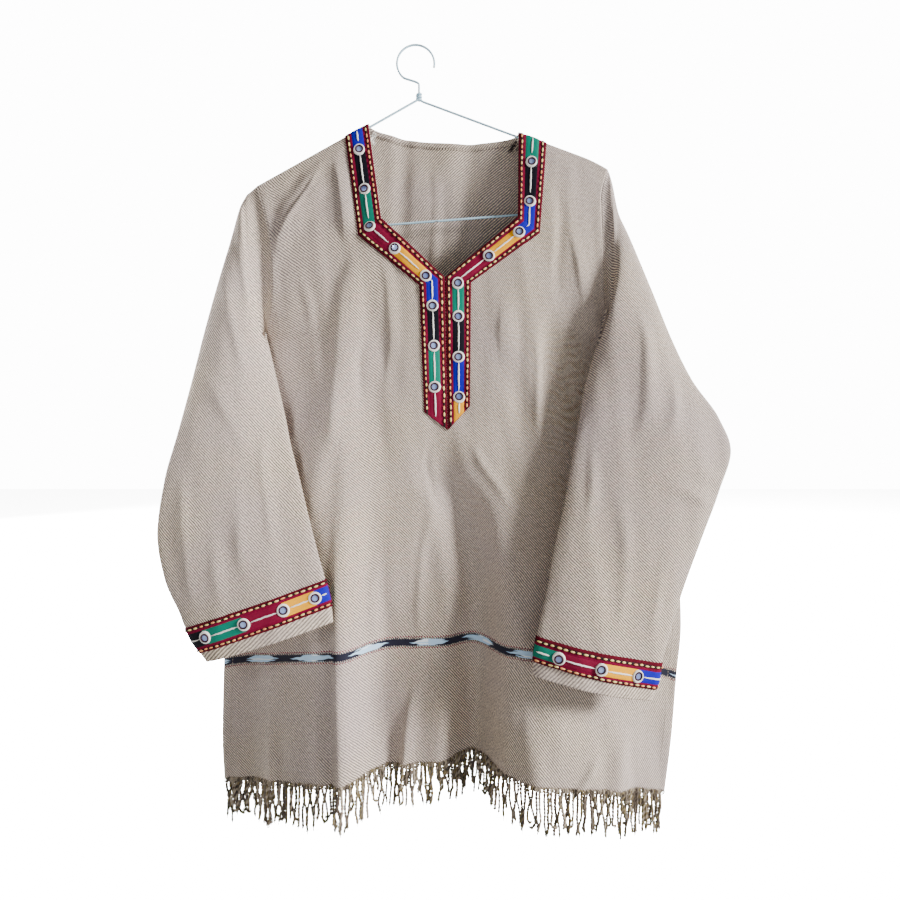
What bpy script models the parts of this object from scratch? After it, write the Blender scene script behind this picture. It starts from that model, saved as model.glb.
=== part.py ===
# Loose pull-over tunic of wool twill, with mirror-work ribbon and a warp fringe, hanging on a wire hanger.
# The front faces -Y, the wearer's right is at -X, and the origin is the inside top of the hanger's hook.
# Lengths in this file are millimetres. MM turns them into metres when a mesh is made.

import math
import random

import bmesh
import bpy
import numpy as np
from mathutils import Vector
from mathutils.bvhtree import BVHTree

MM = 0.001

# Driving sizes of the cloth
CLOTH = 1.5                # wall of the twill
SEAM_GAP = 0.3             # between pieces that are sewn together
ARMHOLE_GAP = 0.7          # at the curved armhole, where facets bow towards each other
BODY_DEPTH = 20.0          # how far the hanging body stands forward of the side seams
DEPTH_FALL = 150.0         # fall below the shoulder over which that depth comes
OVER_WIRE = 2.3            # extra depth where the cloth lies over the hanger's arm
HEM_Z = -810.4             # hem at the middle of the front
HEM_MIDDLE_X = 33.0
HEM_DROP_LEFT = 31.0       # the hem hangs lower at the side seams
HEM_DROP_RIGHT = 46.0
BACK_NECK_DIP = 13.0
BACK_NECK_SHARES = (0.32, 0.74)   # of the back's width, where its neck starts and ends
NECK_STEP = (0.5, 4.5)     # the back neck falls this far, in x and z, beside each neck point
NECK_TURN = 6.0            # turned and stitched edge of the back neck
NECK_TURN_RAISE = 0.8
LENS_POWER = 2.5           # how flat the hanging body is across its middle
ARMHOLE_OPEN = 0.8         # how far the armhole stands open, as a share of the body's depth
ARMHOLE_POWER = 0.6        # and how round that opening is
UNDERARM_FADE = 60.0       # above the underarm, where the cloth lies over the wire to its edge
WIRE_EDGE = 12.0           # below that, the edge over which it comes down to the seam
SEAM_FADE = 25.0           # folds start this far from a seam
TOP_BARE = 4.0             # and this far below the shoulder
TOP_FADE = 30.0
STEEPEST_WALL = 1.7        # most that a slope lengthens the wall along Y
SLOPE_STEP = 2.0

# Grid of the body
FRONT_ZONES = ((0.346, 12), (0.531, 7), (0.746, 8), (1.0, 9))  # share of the width, columns
FRONT_YOKE_ROWS = (0.0, 0.2, 0.45, 0.7)  # below the first two, short of the neck corner
TOP_ROWS = (0.0, 2.0)      # depth below the shoulder
YOKE_START = 5.5
FRONT_ROWS = (6, 10)       # close along the armhole, then wider
FRONT_CLOSE_SHARE = 0.22   # of the height, down to the underarm
FRONT_SHIFT_POWER = 2      # how soon a column leaves the neckline's spacing for the hem's
BACK_COLUMNS = 24
BACK_ROWS = (7, 9)
BACK_CLOSE_SHARE = 0.26
BACK_SHIFT_POWER = 4
SMOOTH_ANGLE_DEG = 50.0

# Neckline corners of the front, as (x, z)
NECK_LEFT_X = -53.6
NECK_RIGHT_X = 117.75
NECK_CORNER_LEFT = (-37.4, -204.6)
NECK_CORNER_RIGHT = (115.8, -202.7)
NECK_POINT = (33.6, -271.6)

# Armhole and side seam of the body, rows of (z, x), from the shoulder to the hem
UNDERARM_LEFT_Z = -336.0
UNDERARM_RIGHT_Z = -330.0
SIDE_LEFT = (
    (-161.0, -181.0), (-200.0, -170.0), (-233.0, -163.2), (-277.0, -161.2), (-300.0, -163.2),
    (-320.0, -166.6), (UNDERARM_LEFT_Z, -171.0), (-440.0, -185.5), (-560.0, -201.0), (-707.0, -219.8),
    (-796.0, -221.5), (-841.6, -219.2),
)
SIDE_RIGHT = (
    (-142.0, 220.0), (-178.0, 211.6), (-240.0, 212.2), (-275.0, 213.6), (-302.0, 215.6),
    (UNDERARM_RIGHT_Z, 219.0), (-480.0, 262.0), (-635.0, 304.0), (-664.5, 304.7), (-723.0, 299.5),
    (-793.0, 293.7), (-856.6, 285.7),
)

# Folds. A path row is (z, x, height): height is how far the fold moves the cloth along Y.
# left and right are the fold's half widths on its two sides.
FRONT_FOLDS = (
    {"name": "left ridge", "left": 140.0, "right": 45.0,
     "path": ((-230, -80, 0), (-366, -84, -6), (-600, -84, -18), (-816, -81, -27))},
    {"name": "left branch", "left": 26.0, "right": 20.0,
     "path": ((-366, -86, 0), (-453, -98, -5), (-519, -111, -4), (-580, -118, 0))},
    {"name": "middle trough", "left": 42.0, "right": 34.0,
     "path": ((-442, 34, 0), (-487, 32, 5), (-526, 53, 11), (-636, 72, 21), (-810, 66, 30))},
    {"name": "right ridge", "left": 70.0, "right": 165.0,
     "path": ((-430, 62, 0), (-540, 115, -10), (-600, 121, -20), (-655, 121, -27), (-813, 134, -38))},
    {"name": "left breast", "left": 20.0, "right": 14.0,
     "path": ((-118, -100, 0), (-135, -110, -3), (-190, -142, -4), (-240, -168, 0))},
    {"name": "right breast", "left": 18.0, "right": 18.0,
     "path": ((-300, 134, 0), (-360, 134, -4), (-440, 136, -3), (-490, 138, 0))},
    {"name": "small hem fold", "left": 16.0, "right": 18.0,
     "path": ((-690, 2, 0), (-750, -5, -5), (-816, -11, -6))},
    {"name": "left hem fold", "left": 18.0, "right": 16.0,
     "path": ((-690, -158, 0), (-760, -157, -4), (-836, -156, -6))},
    {"name": "right hem fold", "left": 22.0, "right": 16.0,
     "path": ((-770, 232, 0), (-810, 226, -6), (-850, 224, -7))},
)
BACK_FOLDS = (
    {"name": "left ridge", "left": 60.0, "right": 90.0,
     "path": ((-180, -110, 0), (-320, -116, 5), (-560, -122, 13), (-830, -130, 22))},
    {"name": "middle trough", "left": 46.0, "right": 40.0,
     "path": ((-300, 6, 0), (-440, 2, -4), (-620, -6, -8), (-820, -12, -9))},
    {"name": "right ridge", "left": 80.0, "right": 60.0,
     "path": ((-200, 96, 0), (-360, 104, 6), (-600, 118, 15), (-830, 128, 24))},
    {"name": "outer ridge", "left": 40.0, "right": 36.0,
     "path": ((-420, 200, 0), (-600, 216, 6), (-840, 232, 12))},
    {"name": "left neck fold", "left": 16.0, "right": 16.0,
     "path": ((-104, -14, 2), (-180, -17, 3), (-290, -20, 0))},
    {"name": "right neck fold", "left": 20.0, "right": 16.0,
     "path": ((-106, 64, 2), (-200, 60, 3), (-320, 56, 0))},
)

# Sleeves, a row for each ring: outer fold (x, z, y), inner fold (x, z, y)
SLEEVE_LEFT = (
    ((-194.0, -171.0, 0), (-174.2, -333.5, -3)),
    ((-202.0, -186.0, 0), (-173.6, -335.5, -8)),
    ((-210.8, -224.4, -4), (-164.0, -349.7, -15)),
    ((-221.9, -272.0, -10), (-158.0, -364.5, -22)),
    ((-235.1, -329.9, -16), (-149.7, -392.9, -28)),
    ((-247.2, -392.4, -24), (-140.1, -426.3, -34)),
    ((-258.6, -444.7, -30), (-131.9, -459.0, -40)),
    ((-270.8, -499.1, -36), (-121.9, -491.1, -46)),
    ((-275.3, -550.4, -42), (-113.1, -520.6, -52)),
    ((-265.6, -601.0, -46), (-104.4, -550.6, -57)),
    ((-247.7, -637.8, -49), (-93.8, -586.3, -61)),
    ((-241.3, -652.7, -50), (-89.8, -598.4, -63)),
    ((-225.4, -679.3, -50), (-83.0, -625.9, -64)),
    ((-218.5, -688.9, -50), (-81.4, -642.0, -64)),
)
SLEEVE_RIGHT = (
    ((222.6, -146.0, 0), (221.8, -326.0, -3)),
    ((226.5, -160.0, 0), (221.5, -330.0, -9)),
    ((231.9, -191.9, -3), (217.0, -336.0, -15)),
    ((243.0, -221.0, -7), (203.0, -350.0, -24)),
    ((267.7, -287.8, -14), (187.1, -393.6, -34)),
    ((286.9, -341.9, -20), (181.0, -420.0, -39)),
    ((307.0, -387.0, -25), (175.8, -445.1, -44)),
    ((334.4, -429.3, -30), (171.0, -465.0, -48)),
    ((346.0, -464.4, -33), (166.8, -485.6, -52)),
    ((331.4, -510.0, -36), (158.9, -523.7, -57)),
    ((310.1, -562.5, -40), (147.0, -570.0, -63)),
    ((286.3, -623.2, -44), (139.0, -610.0, -68)),
    ((265.1, -690.0, -48), (128.0, -653.5, -73)),
    ((258.7, -718.4, -48), (124.4, -679.1, -73)),
    ((253.9, -730.6, -48), (123.4, -693.4, -73)),
)
CUFF_RIBBON_ROWS = (-3, -2)      # the last rings but two and but one bound the cuff's ribbon
SLEEVE_HALF = 11.0               # half thickness of a hanging sleeve
SLEEVE_FLAT_WIDTH = 150.0        # where the sleeve is seen narrower than this it stands fuller
SLEEVE_FULLNESS = 0.15
SLEEVE_HALF_POINTS = 8           # steps over the front of a ring, and over its back
SLEEVE_LAYER_GAP = 5.0           # least depth from a sleeve's front face to its back face
SLEEVE_CLEAR = 2.5               # a sleeve's back face to the body
CUFF_CLEAR = 6.5                 # the same at the cuff, where ribbon and mirrors lie between
CUFF_CLEAR_Z = -580.0
CUFF_CLEAR_EASE = 40.0           # height over which the one becomes the other
SLEEVE_ROUND_POWER = 0.55        # how full the ring is towards its folds
EDGE_RELAX = 0.9                 # a sleeve may reach further back by this much for each mm beyond the body
UNDERARM_RELAX = 0.7             # and the same above the underarm
UNDERARM_REACH = 20.0

# Ribbon
RIBBON_GAP = 0.5                 # along Y, so that 0.3 is left where the cloth slopes
RIBBON_THICK = 1.1
TRIM_SIDE_LEFT = ((-80.6, -104.2), (-63.7, -223.2))
TRIM_SIDE_RIGHT = ((150.0, -114.1), (140.4, -221.0))
PLACKET_TOP_LEFT = (5.4, -281.2)
PLACKET_TOP_RIGHT = (63.1, -277.2)
PLACKET_CORNER_LEFT = (10.7, -422.2)
PLACKET_CORNER_RIGHT = (61.8, -415.6)
PLACKET_TIP = (37.2, -442.2)
PLACKET_GAP = 0.25               # half of the gap between the two ribbons of the placket
TRIM_RUNOUT = 40.0               # a cutting line goes on this far above the shoulder
TRIM_ACROSS = 25.0               # each ribbon is cut from the cloth on its own side, and this much more
TRIM_SIDE_LOWEST_Z = -260.0      # the stretch beside the neck is cut from the cloth above this
TRIM_START = 5.0                 # mirrors are measured from this far below the shoulder
CUT_TOLERANCE = 0.02
MERGE_WITHIN = 0.25

# Mirrors: distances along each stretch of ribbon, and fractions across each side of a cuff
MIRROR_RADIUS = 7.4              # with its ring of thread
MIRROR_THICK = 1.4
MIRROR_SIDES = 8
MIRROR_SEAT = 0.3
MIRROR_CHAMFER = 0.5
MIRROR_PROBES = (0.5, 1.0, 1.15) # circles on which the ribbon's height is felt, as shares of the radius
PROBE_HEIGHT = 30.0
SIGHT_FROM = 300.0
NECK_MIRRORS = {
    "left": {"side": (19.0, 66.0, 112.0), "slope": (35.0, 84.0), "placket": (28.0, 74.0, 121.0)},
    "right": {"side": (24.0, 70.0), "slope": (10.0, 57.0), "placket": (4.0, 42.0, 88.0, 133.0)},
}
CUFF_MIRRORS = {
    "left": {"front": (0.12, 0.41, 0.69, 0.91), "back": (0.22, 0.5, 0.78)},
    "right": {"front": (0.20, 0.50, 0.82), "back": (0.22, 0.5, 0.78)},
}

# Fringe
FRINGE_STRIP = 3.6               # narrow strip that the strands hang from
FRINGE_LENGTH = 47.0
STRANDS_FRONT = 54
STRANDS_BACK = 44
FRINGE_SEEDS = (3, 8)
STRAND_WIDE = 3.4
STRAND_TIP = 2.0
STRAND_SWAY = 1.9
STRAND_LENGTHS = (0.86, 1.04)    # shortest and longest, as shares of the fringe's length
STRAND_WAIST = 0.85              # size of a strand half way down, as a share of its root
STRIP_END = 2.0                  # bare strip beyond the last strand

# Hanger
WIRE_RADIUS = 1.4
HOOK_RADIUS = 21.5               # centre line of the hook
HOOK_FROM_DEG = 225.0
HOOK_TO_DEG = -12.0
APEX = (3.9, -62.4)
HANGER_HALF = 197.0
HANGER_DROP = 140.0              # apex to bar
ARM_DEG = 24.8                   # arms below the level
TILT_DEG = 4.4                   # the hanger hangs with its right end up
CLOTH_RISE = 3.9                 # top of the cloth above the wire's centre line
TWIST_RADIUS = 2.7
TWIST_HEIGHT = 9.0
TWIST_BELOW = 2.5                # the collar starts this far below the apex
TWIST_SIDES = 10
HOOK_STEPS = 16
HANGER_END_STEPS = 8
STEM_SHORT = 4.0                 # the stem stops this far short of the bend
HOOK_LEAD = ((1.2, 0.6), (4.5, 4.1))  # the bend into the hook, left of the stem and above it
SHOULDER_DROOP_X = 190.0         # the right shoulder droops past the hanger's end
SHOULDER_DROOP = 0.004

# Colour, roughness, metallic
FINISHES = {
    "twill": ((0.42, 0.35, 0.27), 0.9, 0.0),
    "ribbon": ((0.32, 0.02, 0.07), 0.8, 0.0),
    "fringe": ((0.36, 0.30, 0.23), 0.95, 0.0),
    "mirror": ((0.62, 0.64, 0.70), 0.2, 0.6),
    "wire": ((0.66, 0.76, 0.82), 0.35, 0.3),
}


# Helpers for outlines

def at_height(rows, z):
    """The x of a seam given as rows of (z, x), going down."""
    depths = [-row[0] for row in rows]
    places = [row[1] for row in rows]
    return float(np.interp(-z, depths, places))


def mix(a, b, share):
    return a + (b - a) * share


def ease(value):
    value = min(1.0, max(0.0, value))
    return value * value * (3.0 - 2.0 * value)


def shoulder_z(x):
    """Top of the cloth over the hanger's two arms."""
    angle = math.radians(ARM_DEG + TILT_DEG if x < APEX[0] else ARM_DEG - TILT_DEG)
    top = APEX[1] - abs(x - APEX[0]) * math.tan(angle) + CLOTH_RISE / math.cos(angle)
    past_end = max(0.0, x - SHOULDER_DROOP_X)
    return top - SHOULDER_DROOP * past_end ** 2


def back_neck_z(x):
    share = (x - NECK_LEFT_X) / (NECK_RIGHT_X - NECK_LEFT_X)
    chord = mix(shoulder_z(NECK_LEFT_X), shoulder_z(NECK_RIGHT_X), share)
    return chord - BACK_NECK_DIP * math.sqrt(math.sin(math.pi * share))


def hem_z(x):
    if x < HEM_MIDDLE_X:
        reach = HEM_MIDDLE_X - at_height(SIDE_LEFT, SIDE_LEFT[-1][0])
        return HEM_Z - HEM_DROP_LEFT * ((HEM_MIDDLE_X - x) / reach) ** 2
    reach = at_height(SIDE_RIGHT, SIDE_RIGHT[-1][0]) - HEM_MIDDLE_X
    return HEM_Z - HEM_DROP_RIGHT * ((x - HEM_MIDDLE_X) / reach) ** 2


# Depth of the hanging body

def fold_height(folds, x, z):
    """Sum of the folds at a point: each is a smooth ridge or trough across its path."""
    total = 0.0
    for fold in folds:
        depths = [-row[0] for row in fold["path"]]
        middle = np.interp(-z, depths, [row[1] for row in fold["path"]])
        height = np.interp(-z, depths, [row[2] for row in fold["path"]])
        half_width = fold["left"] if x < middle else fold["right"]
        across = abs(x - middle) / half_width
        if across < 1.0:
            total += height * math.cos(across * math.pi / 2) ** 2
    return float(total)


def armhole_share(z, rows, underarm_z):
    """How open the armhole stands at a height, from 0 at its ends to 1."""
    top = rows[0][0]
    share = (top - z) / (top - underarm_z)
    if share <= 0.0 or share >= 1.0:
        return 0.0
    return ARMHOLE_OPEN * math.sin(math.pi * share) ** ARMHOLE_POWER


def body_depth(x, z, folds, forward):
    """Distance of a panel's outer face from the seam plane y = 0; forward is -1 in front, 1 behind."""
    left = at_height(SIDE_LEFT, z)
    right = at_height(SIDE_RIGHT, z)
    across = min(1.0, max(0.0, (x - left) / (right - left)))
    if across < 0.5:
        edge = armhole_share(z, SIDE_LEFT, UNDERARM_LEFT_Z)
        above_underarm = ease((z - UNDERARM_LEFT_Z) / UNDERARM_FADE)
        edge_distance = x - left
    else:
        edge = armhole_share(z, SIDE_RIGHT, UNDERARM_RIGHT_Z)
        above_underarm = ease((z - UNDERARM_RIGHT_Z) / UNDERARM_FADE)
        edge_distance = right - x
    lens = 1.0 - abs(2.0 * across - 1.0) ** LENS_POWER
    roundness = edge + (1.0 - edge) * lens
    below_top = max(0.0, shoulder_z(x) - z)
    near_edge = min(1.0, max(0.0, edge_distance) / WIRE_EDGE)
    wire_share = above_underarm + (1.0 - above_underarm) * near_edge
    depth = SEAM_GAP / 2 + CLOTH
    depth += OVER_WIRE * min(1.0, below_top / TOP_ROWS[1]) * wire_share
    depth += BODY_DEPTH * (1.0 - math.exp(-below_top / DEPTH_FALL)) * roundness
    seam_fade = ease(edge_distance / SEAM_FADE)
    top_fade = ease((below_top - TOP_BARE) / TOP_FADE)
    return depth + forward * fold_height(folds, x, z) * seam_fade * top_fade


def front_y(x, z):
    return -body_depth(x, z, FRONT_FOLDS, -1.0)


def back_y(x, z):
    return body_depth(x, z, BACK_FOLDS, 1.0)


def wall_along_y(surface, x, z, on_edge):
    """The wall measured along Y, longer where the cloth slopes, plain at the seams."""
    if on_edge:
        return CLOTH
    slope_x = (surface(x + SLOPE_STEP, z) - surface(x - SLOPE_STEP, z)) / (2 * SLOPE_STEP)
    slope_z = (surface(x, z + SLOPE_STEP) - surface(x, z - SLOPE_STEP)) / (2 * SLOPE_STEP)
    return CLOTH * min(STEEPEST_WALL, math.sqrt(1.0 + slope_x ** 2 + slope_z ** 2))


# Meshes

def finish_material(kind):
    name = "finish_" + kind
    if name in bpy.data.materials:
        return bpy.data.materials[name]
    colour, roughness, metallic = FINISHES[kind]
    material = bpy.data.materials.new(name)
    material.use_nodes = True
    shader = material.node_tree.nodes["Principled BSDF"]
    shader.inputs["Base Color"].default_value = (*colour, 1.0)
    shader.inputs["Roughness"].default_value = roughness
    shader.inputs["Metallic"].default_value = metallic
    return material


def add_object(name, points, faces, kind):
    """A closed body from points in millimetres, its faces turned outward."""
    mesh = bpy.data.meshes.new(name)
    mesh.from_pydata([tuple(value * MM for value in point) for point in points], [], faces)
    body = bmesh.new()
    body.from_mesh(mesh)
    bmesh.ops.recalc_face_normals(body, faces=body.faces)
    body.to_mesh(mesh)
    body.free()
    mesh.materials.append(finish_material(kind))
    mesh.shade_smooth()
    mesh.set_sharp_from_angle(angle=math.radians(SMOOTH_ANGLE_DEG))
    item = bpy.data.objects.new(name, mesh)
    bpy.context.scene.collection.objects.link(item)
    return item


def open_edges(triangles):
    """Edges that one triangle uses, as they run in it."""
    seen = {}
    for triangle in triangles:
        for start, end in zip(triangle, triangle[1:] + triangle[:1]):
            seen[(start, end)] = True
    return [edge for edge in seen if (edge[1], edge[0]) not in seen]


def slab(name, outer, inner, triangles, kind):
    """A sheet with thickness: its outer and inner faces and the wall round its open edges."""
    count = len(outer)
    faces = [tuple(triangle) for triangle in triangles]
    faces += [tuple(index + count for index in reversed(triangle)) for triangle in triangles]
    for start, end in open_edges(triangles):
        faces.append((end, start, start + count))
        faces.append((end, start + count, end + count))
    return add_object(name, list(outer) + list(inner), faces, kind)


def grid_triangles(keys, cells):
    """Two triangles for each cell of a grid whose corners are looked up by (column, row)."""
    triangles = []
    for column, row in cells:
        a = keys[(column, row)]
        b = keys[(column, row + 1)]
        c = keys[(column + 1, row + 1)]
        d = keys[(column + 1, row)]
        triangles.append((a, b, c))
        triangles.append((a, c, d))
    return triangles


# Front and back of the body

def row_shares(counts, close_share):
    """Shares of a column's height, close together along the armhole and wider below it."""
    close, wide = counts
    shares = [close_share * (row + 1) / close for row in range(close)]
    return shares + [mix(close_share, 1.0, (row + 1) / wide) for row in range(wide)]


def zone_shares():
    shares = [0.0]
    corners = [0]
    start = 0.0
    for end, columns in FRONT_ZONES:
        shares += [mix(start, end, (step + 1) / columns) for step in range(columns)]
        corners.append(len(shares) - 1)
        start = end
    return shares, corners


def front_sheet():
    """Grid of the front: two yokes beside the neck, over a lower part that starts along the neckline."""
    shares, corners = zone_shares()
    last = len(shares) - 1
    left_corner, point, right_corner = corners[1], corners[2], corners[3]
    tops = {}
    for column in range(last + 1):
        if column <= left_corner:
            z = NECK_CORNER_LEFT[1]
            edge = at_height(SIDE_LEFT, z)
            tops[column] = (mix(edge, NECK_CORNER_LEFT[0], column / left_corner), z)
        elif column <= point:
            along = (column - left_corner) / (point - left_corner)
            tops[column] = tuple(mix(a, b, along) for a, b in zip(NECK_CORNER_LEFT, NECK_POINT))
        elif column <= right_corner:
            along = (column - point) / (right_corner - point)
            tops[column] = tuple(mix(a, b, along) for a, b in zip(NECK_POINT, NECK_CORNER_RIGHT))
        else:
            z = NECK_CORNER_RIGHT[1]
            edge = at_height(SIDE_RIGHT, z)
            along = (column - right_corner) / (last - right_corner)
            tops[column] = (mix(NECK_CORNER_RIGHT[0], edge, along), z)

    places = {}
    downs = [0.0] + row_shares(FRONT_ROWS, FRONT_CLOSE_SHARE)
    last_row = len(downs) - 1
    for column, share in enumerate(shares):
        top_x, top_z = tops[column]
        shift = top_x - mix(at_height(SIDE_LEFT, top_z), at_height(SIDE_RIGHT, top_z), share)
        hem_x = mix(SIDE_LEFT[-1][1], SIDE_RIGHT[-1][1], share)
        for row, down in enumerate(downs):
            z = mix(top_z, hem_z(hem_x), down)
            x = mix(at_height(SIDE_LEFT, z), at_height(SIDE_RIGHT, z), share)
            places[(column, row)] = (x + shift * (1.0 - down) ** FRONT_SHIFT_POWER, z)

    yoke_rows = len(TOP_ROWS) + len(FRONT_YOKE_ROWS)
    for column in list(range(left_corner + 1)) + list(range(right_corner, last + 1)):
        if column <= left_corner:
            along = column / left_corner
            start_x = mix(SIDE_LEFT[0][1], NECK_LEFT_X, along)
            edge_rows = SIDE_LEFT
            edge_share = 1.0 - along
        else:
            along = (column - right_corner) / (last - right_corner)
            start_x = mix(NECK_RIGHT_X, SIDE_RIGHT[0][1], along)
            edge_rows = SIDE_RIGHT
            edge_share = along
        start_z = shoulder_z(start_x)
        end_x, end_z = tops[column]
        depths = list(TOP_ROWS)
        depths += [mix(YOKE_START, start_z - end_z, share) for share in FRONT_YOKE_ROWS]
        for row, depth in enumerate(depths):
            down = depth / (start_z - end_z)
            z = start_z - depth
            straight = mix(edge_rows[0][1], at_height(edge_rows, end_z), down)
            bend = (at_height(edge_rows, z) - straight) * edge_share
            places[(column, row - yoke_rows)] = (mix(start_x, end_x, down) + bend, z)

    cells = [(column, row) for column in range(last) for row in range(last_row)]
    for column in list(range(left_corner)) + list(range(right_corner, last)):
        cells += [(column, row) for row in range(-yoke_rows, 0)]
    order = sorted(places)
    keys = {key: index for index, key in enumerate(order)}
    edge_keys = {keys[key] for key in order if key[0] in (0, last) or key[1] == -yoke_rows}
    hem = [keys[(column, last_row)] for column in range(last + 1)]
    return [places[key] for key in order], grid_triangles(keys, cells), edge_keys, hem


def back_tops():
    """Each column of the back as (share of the width, top x, top z)."""
    neck_left = round(BACK_COLUMNS * BACK_NECK_SHARES[0])
    neck_right = round(BACK_COLUMNS * BACK_NECK_SHARES[1])
    step_x, step_z = NECK_STEP
    tops = []
    for column in range(BACK_COLUMNS + 1):
        share = column / BACK_COLUMNS
        if column <= neck_left:
            x = mix(SIDE_LEFT[0][1], NECK_LEFT_X, column / neck_left)
            tops.append((share, x, shoulder_z(x)))
        elif column < neck_right:
            x = mix(NECK_LEFT_X, NECK_RIGHT_X, (column - neck_left) / (neck_right - neck_left))
            tops.append((share, x, back_neck_z(x)))
        else:
            x = mix(NECK_RIGHT_X, SIDE_RIGHT[0][1], (column - neck_right) / (BACK_COLUMNS - neck_right))
            tops.append((share, x, shoulder_z(x)))
    half_column = 0.5 / BACK_COLUMNS
    left_x = NECK_LEFT_X + step_x
    right_x = NECK_RIGHT_X - step_x
    left_share = neck_left / BACK_COLUMNS + half_column
    right_share = neck_right / BACK_COLUMNS - half_column
    tops.insert(neck_left + 1, (left_share, left_x, shoulder_z(NECK_LEFT_X) - step_z))
    tops.insert(neck_right + 1, (right_share, right_x, shoulder_z(NECK_RIGHT_X) - step_z))
    return tops, neck_left, neck_right + 2


def back_sheet():
    """Grid of the back: columns from the shoulders and the shallow neck down to the hem."""
    places = {}
    first_rows = TOP_ROWS + (NECK_TURN, NECK_TURN + NECK_TURN_RAISE)
    lower_rows = row_shares(BACK_ROWS, BACK_CLOSE_SHARE)
    rows = len(first_rows) + len(lower_rows)
    tops, neck_left, neck_right = back_tops()
    last = len(tops) - 1
    for column, (share, top_x, top_z) in enumerate(tops):
        hem_x = mix(SIDE_LEFT[-1][1], SIDE_RIGHT[-1][1], share)
        start_z = top_z - first_rows[-1]
        shift_at_top = top_x - mix(at_height(SIDE_LEFT, top_z), at_height(SIDE_RIGHT, top_z), share)
        for row in range(rows):
            if row < len(first_rows):
                z = top_z - first_rows[row]
            else:
                z = mix(start_z, hem_z(hem_x), lower_rows[row - len(first_rows)])
            down = (top_z - z) / (top_z - hem_z(hem_x))
            x = mix(at_height(SIDE_LEFT, z), at_height(SIDE_RIGHT, z), share)
            places[(column, row)] = (x + shift_at_top * (1.0 - down) ** BACK_SHIFT_POWER, z)
    keys = {key: index for index, key in enumerate(sorted(places))}
    cells = [(column, row) for column in range(last) for row in range(rows - 1)]
    edge_keys = {keys[key] for key in keys if key[0] in (0, last) or key[1] == 0}
    turned = {keys[key] for key in keys if neck_left <= key[0] <= neck_right and key[1] < len(TOP_ROWS) + 1}
    hem = [keys[(column, rows - 1)] for column in range(last + 1)]
    return [places[key] for key in sorted(places)], grid_triangles(keys, cells), edge_keys, turned, hem


def make_front():
    places, triangles, edge_keys, hem = front_sheet()
    outer = []
    inner = []
    for index, (x, z) in enumerate(places):
        y = front_y(x, z)
        wall = wall_along_y(front_y, x, z, index in edge_keys)
        outer.append((x, y, z))
        inner.append((x, y + wall, z))
    slab("front_panel", outer, inner, triangles, "twill")
    return outer, triangles, [(outer[index], inner[index]) for index in hem]


def make_back():
    places, triangles, edge_keys, turned, hem = back_sheet()
    outer = []
    inner = []
    for index, (x, z) in enumerate(places):
        y = back_y(x, z)
        wall = wall_along_y(back_y, x, z, index in edge_keys)
        if index in turned and index not in edge_keys:
            wall += NECK_TURN_RAISE
        outer.append((x, y, z))
        inner.append((x, y - wall, z))
    turned_triangles = [tuple(reversed(triangle)) for triangle in triangles]
    slab("back_panel", outer, inner, turned_triangles, "twill")
    return [(outer[index], inner[index]) for index in hem]


# Sleeves

def body_limit(x, z, left_side):
    """How far back a sleeve may reach at a point, so that it lies clear in front of the body."""
    clear = mix(SLEEVE_CLEAR, CUFF_CLEAR, ease((CUFF_CLEAR_Z + CUFF_CLEAR_EASE - z) / CUFF_CLEAR_EASE))
    rows = SIDE_LEFT if left_side else SIDE_RIGHT
    underarm_z = UNDERARM_LEFT_Z if left_side else UNDERARM_RIGHT_Z
    edge = at_height(rows, z)
    outside = edge - x if left_side else x - edge
    if outside > 0.0:
        limit = front_y(edge, z) - clear + EDGE_RELAX * outside
        return limit + UNDERARM_RELAX * max(0.0, z - underarm_z - UNDERARM_REACH)
    return front_y(x, z) - clear


def sleeve_ring(outer, inner, left_side):
    """One flattened ring: over the front from the outer fold to the inner one, and back behind."""
    outer_x, outer_z, outer_y = outer
    inner_x, inner_z, inner_y = inner
    width = math.hypot(inner_x - outer_x, inner_z - outer_z)
    half = SLEEVE_HALF + SLEEVE_FULLNESS * max(0.0, SLEEVE_FLAT_WIDTH - width)
    front = []
    back = []
    for step in range(SLEEVE_HALF_POINTS + 1):
        share = (1.0 - math.cos(math.pi * step / SLEEVE_HALF_POINTS)) / 2
        x = mix(outer_x, inner_x, share)
        z = mix(outer_z, inner_z, share)
        middle = mix(outer_y, inner_y, share)
        limit = body_limit(x, z, left_side)
        if step in (0, SLEEVE_HALF_POINTS):
            front.append((x, min(middle, limit), z))
            continue
        swell = half * math.sin(math.pi * share) ** SLEEVE_ROUND_POWER
        behind = min(middle + swell, limit)
        back.append((x, behind, z))
        front.append((x, min(middle - swell, behind - SLEEVE_LAYER_GAP), z))
    return front + back[::-1]


def armhole_ring(left_side):
    """The ring that meets the front and back panels along the armhole."""
    rows = SIDE_LEFT if left_side else SIDE_RIGHT
    top_z = rows[0][0]
    bottom_z = UNDERARM_LEFT_Z if left_side else UNDERARM_RIGHT_Z
    away = -ARMHOLE_GAP if left_side else ARMHOLE_GAP
    front = []
    back = []
    for step in range(SLEEVE_HALF_POINTS + 1):
        share = (1.0 - math.cos(math.pi * step / SLEEVE_HALF_POINTS)) / 2
        z = mix(top_z, bottom_z, share)
        x = at_height(rows, z)
        if step in (0, SLEEVE_HALF_POINTS):
            front.append((x + away, 0.0, z))
            continue
        front.append((x + away, front_y(x, z), z))
        back.append((x + away, back_y(x, z), z))
    return front + back[::-1]


def point_normals(points, triangles):
    """Outward direction at each point, from the triangles that meet there."""
    points = np.array(points)
    normals = np.zeros_like(points)
    for a, b, c in triangles:
        face = np.cross(points[b] - points[a], points[c] - points[a])
        for index in (a, b, c):
            normals[index] += face
    return normals / np.linalg.norm(normals, axis=1)[:, None]


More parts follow.
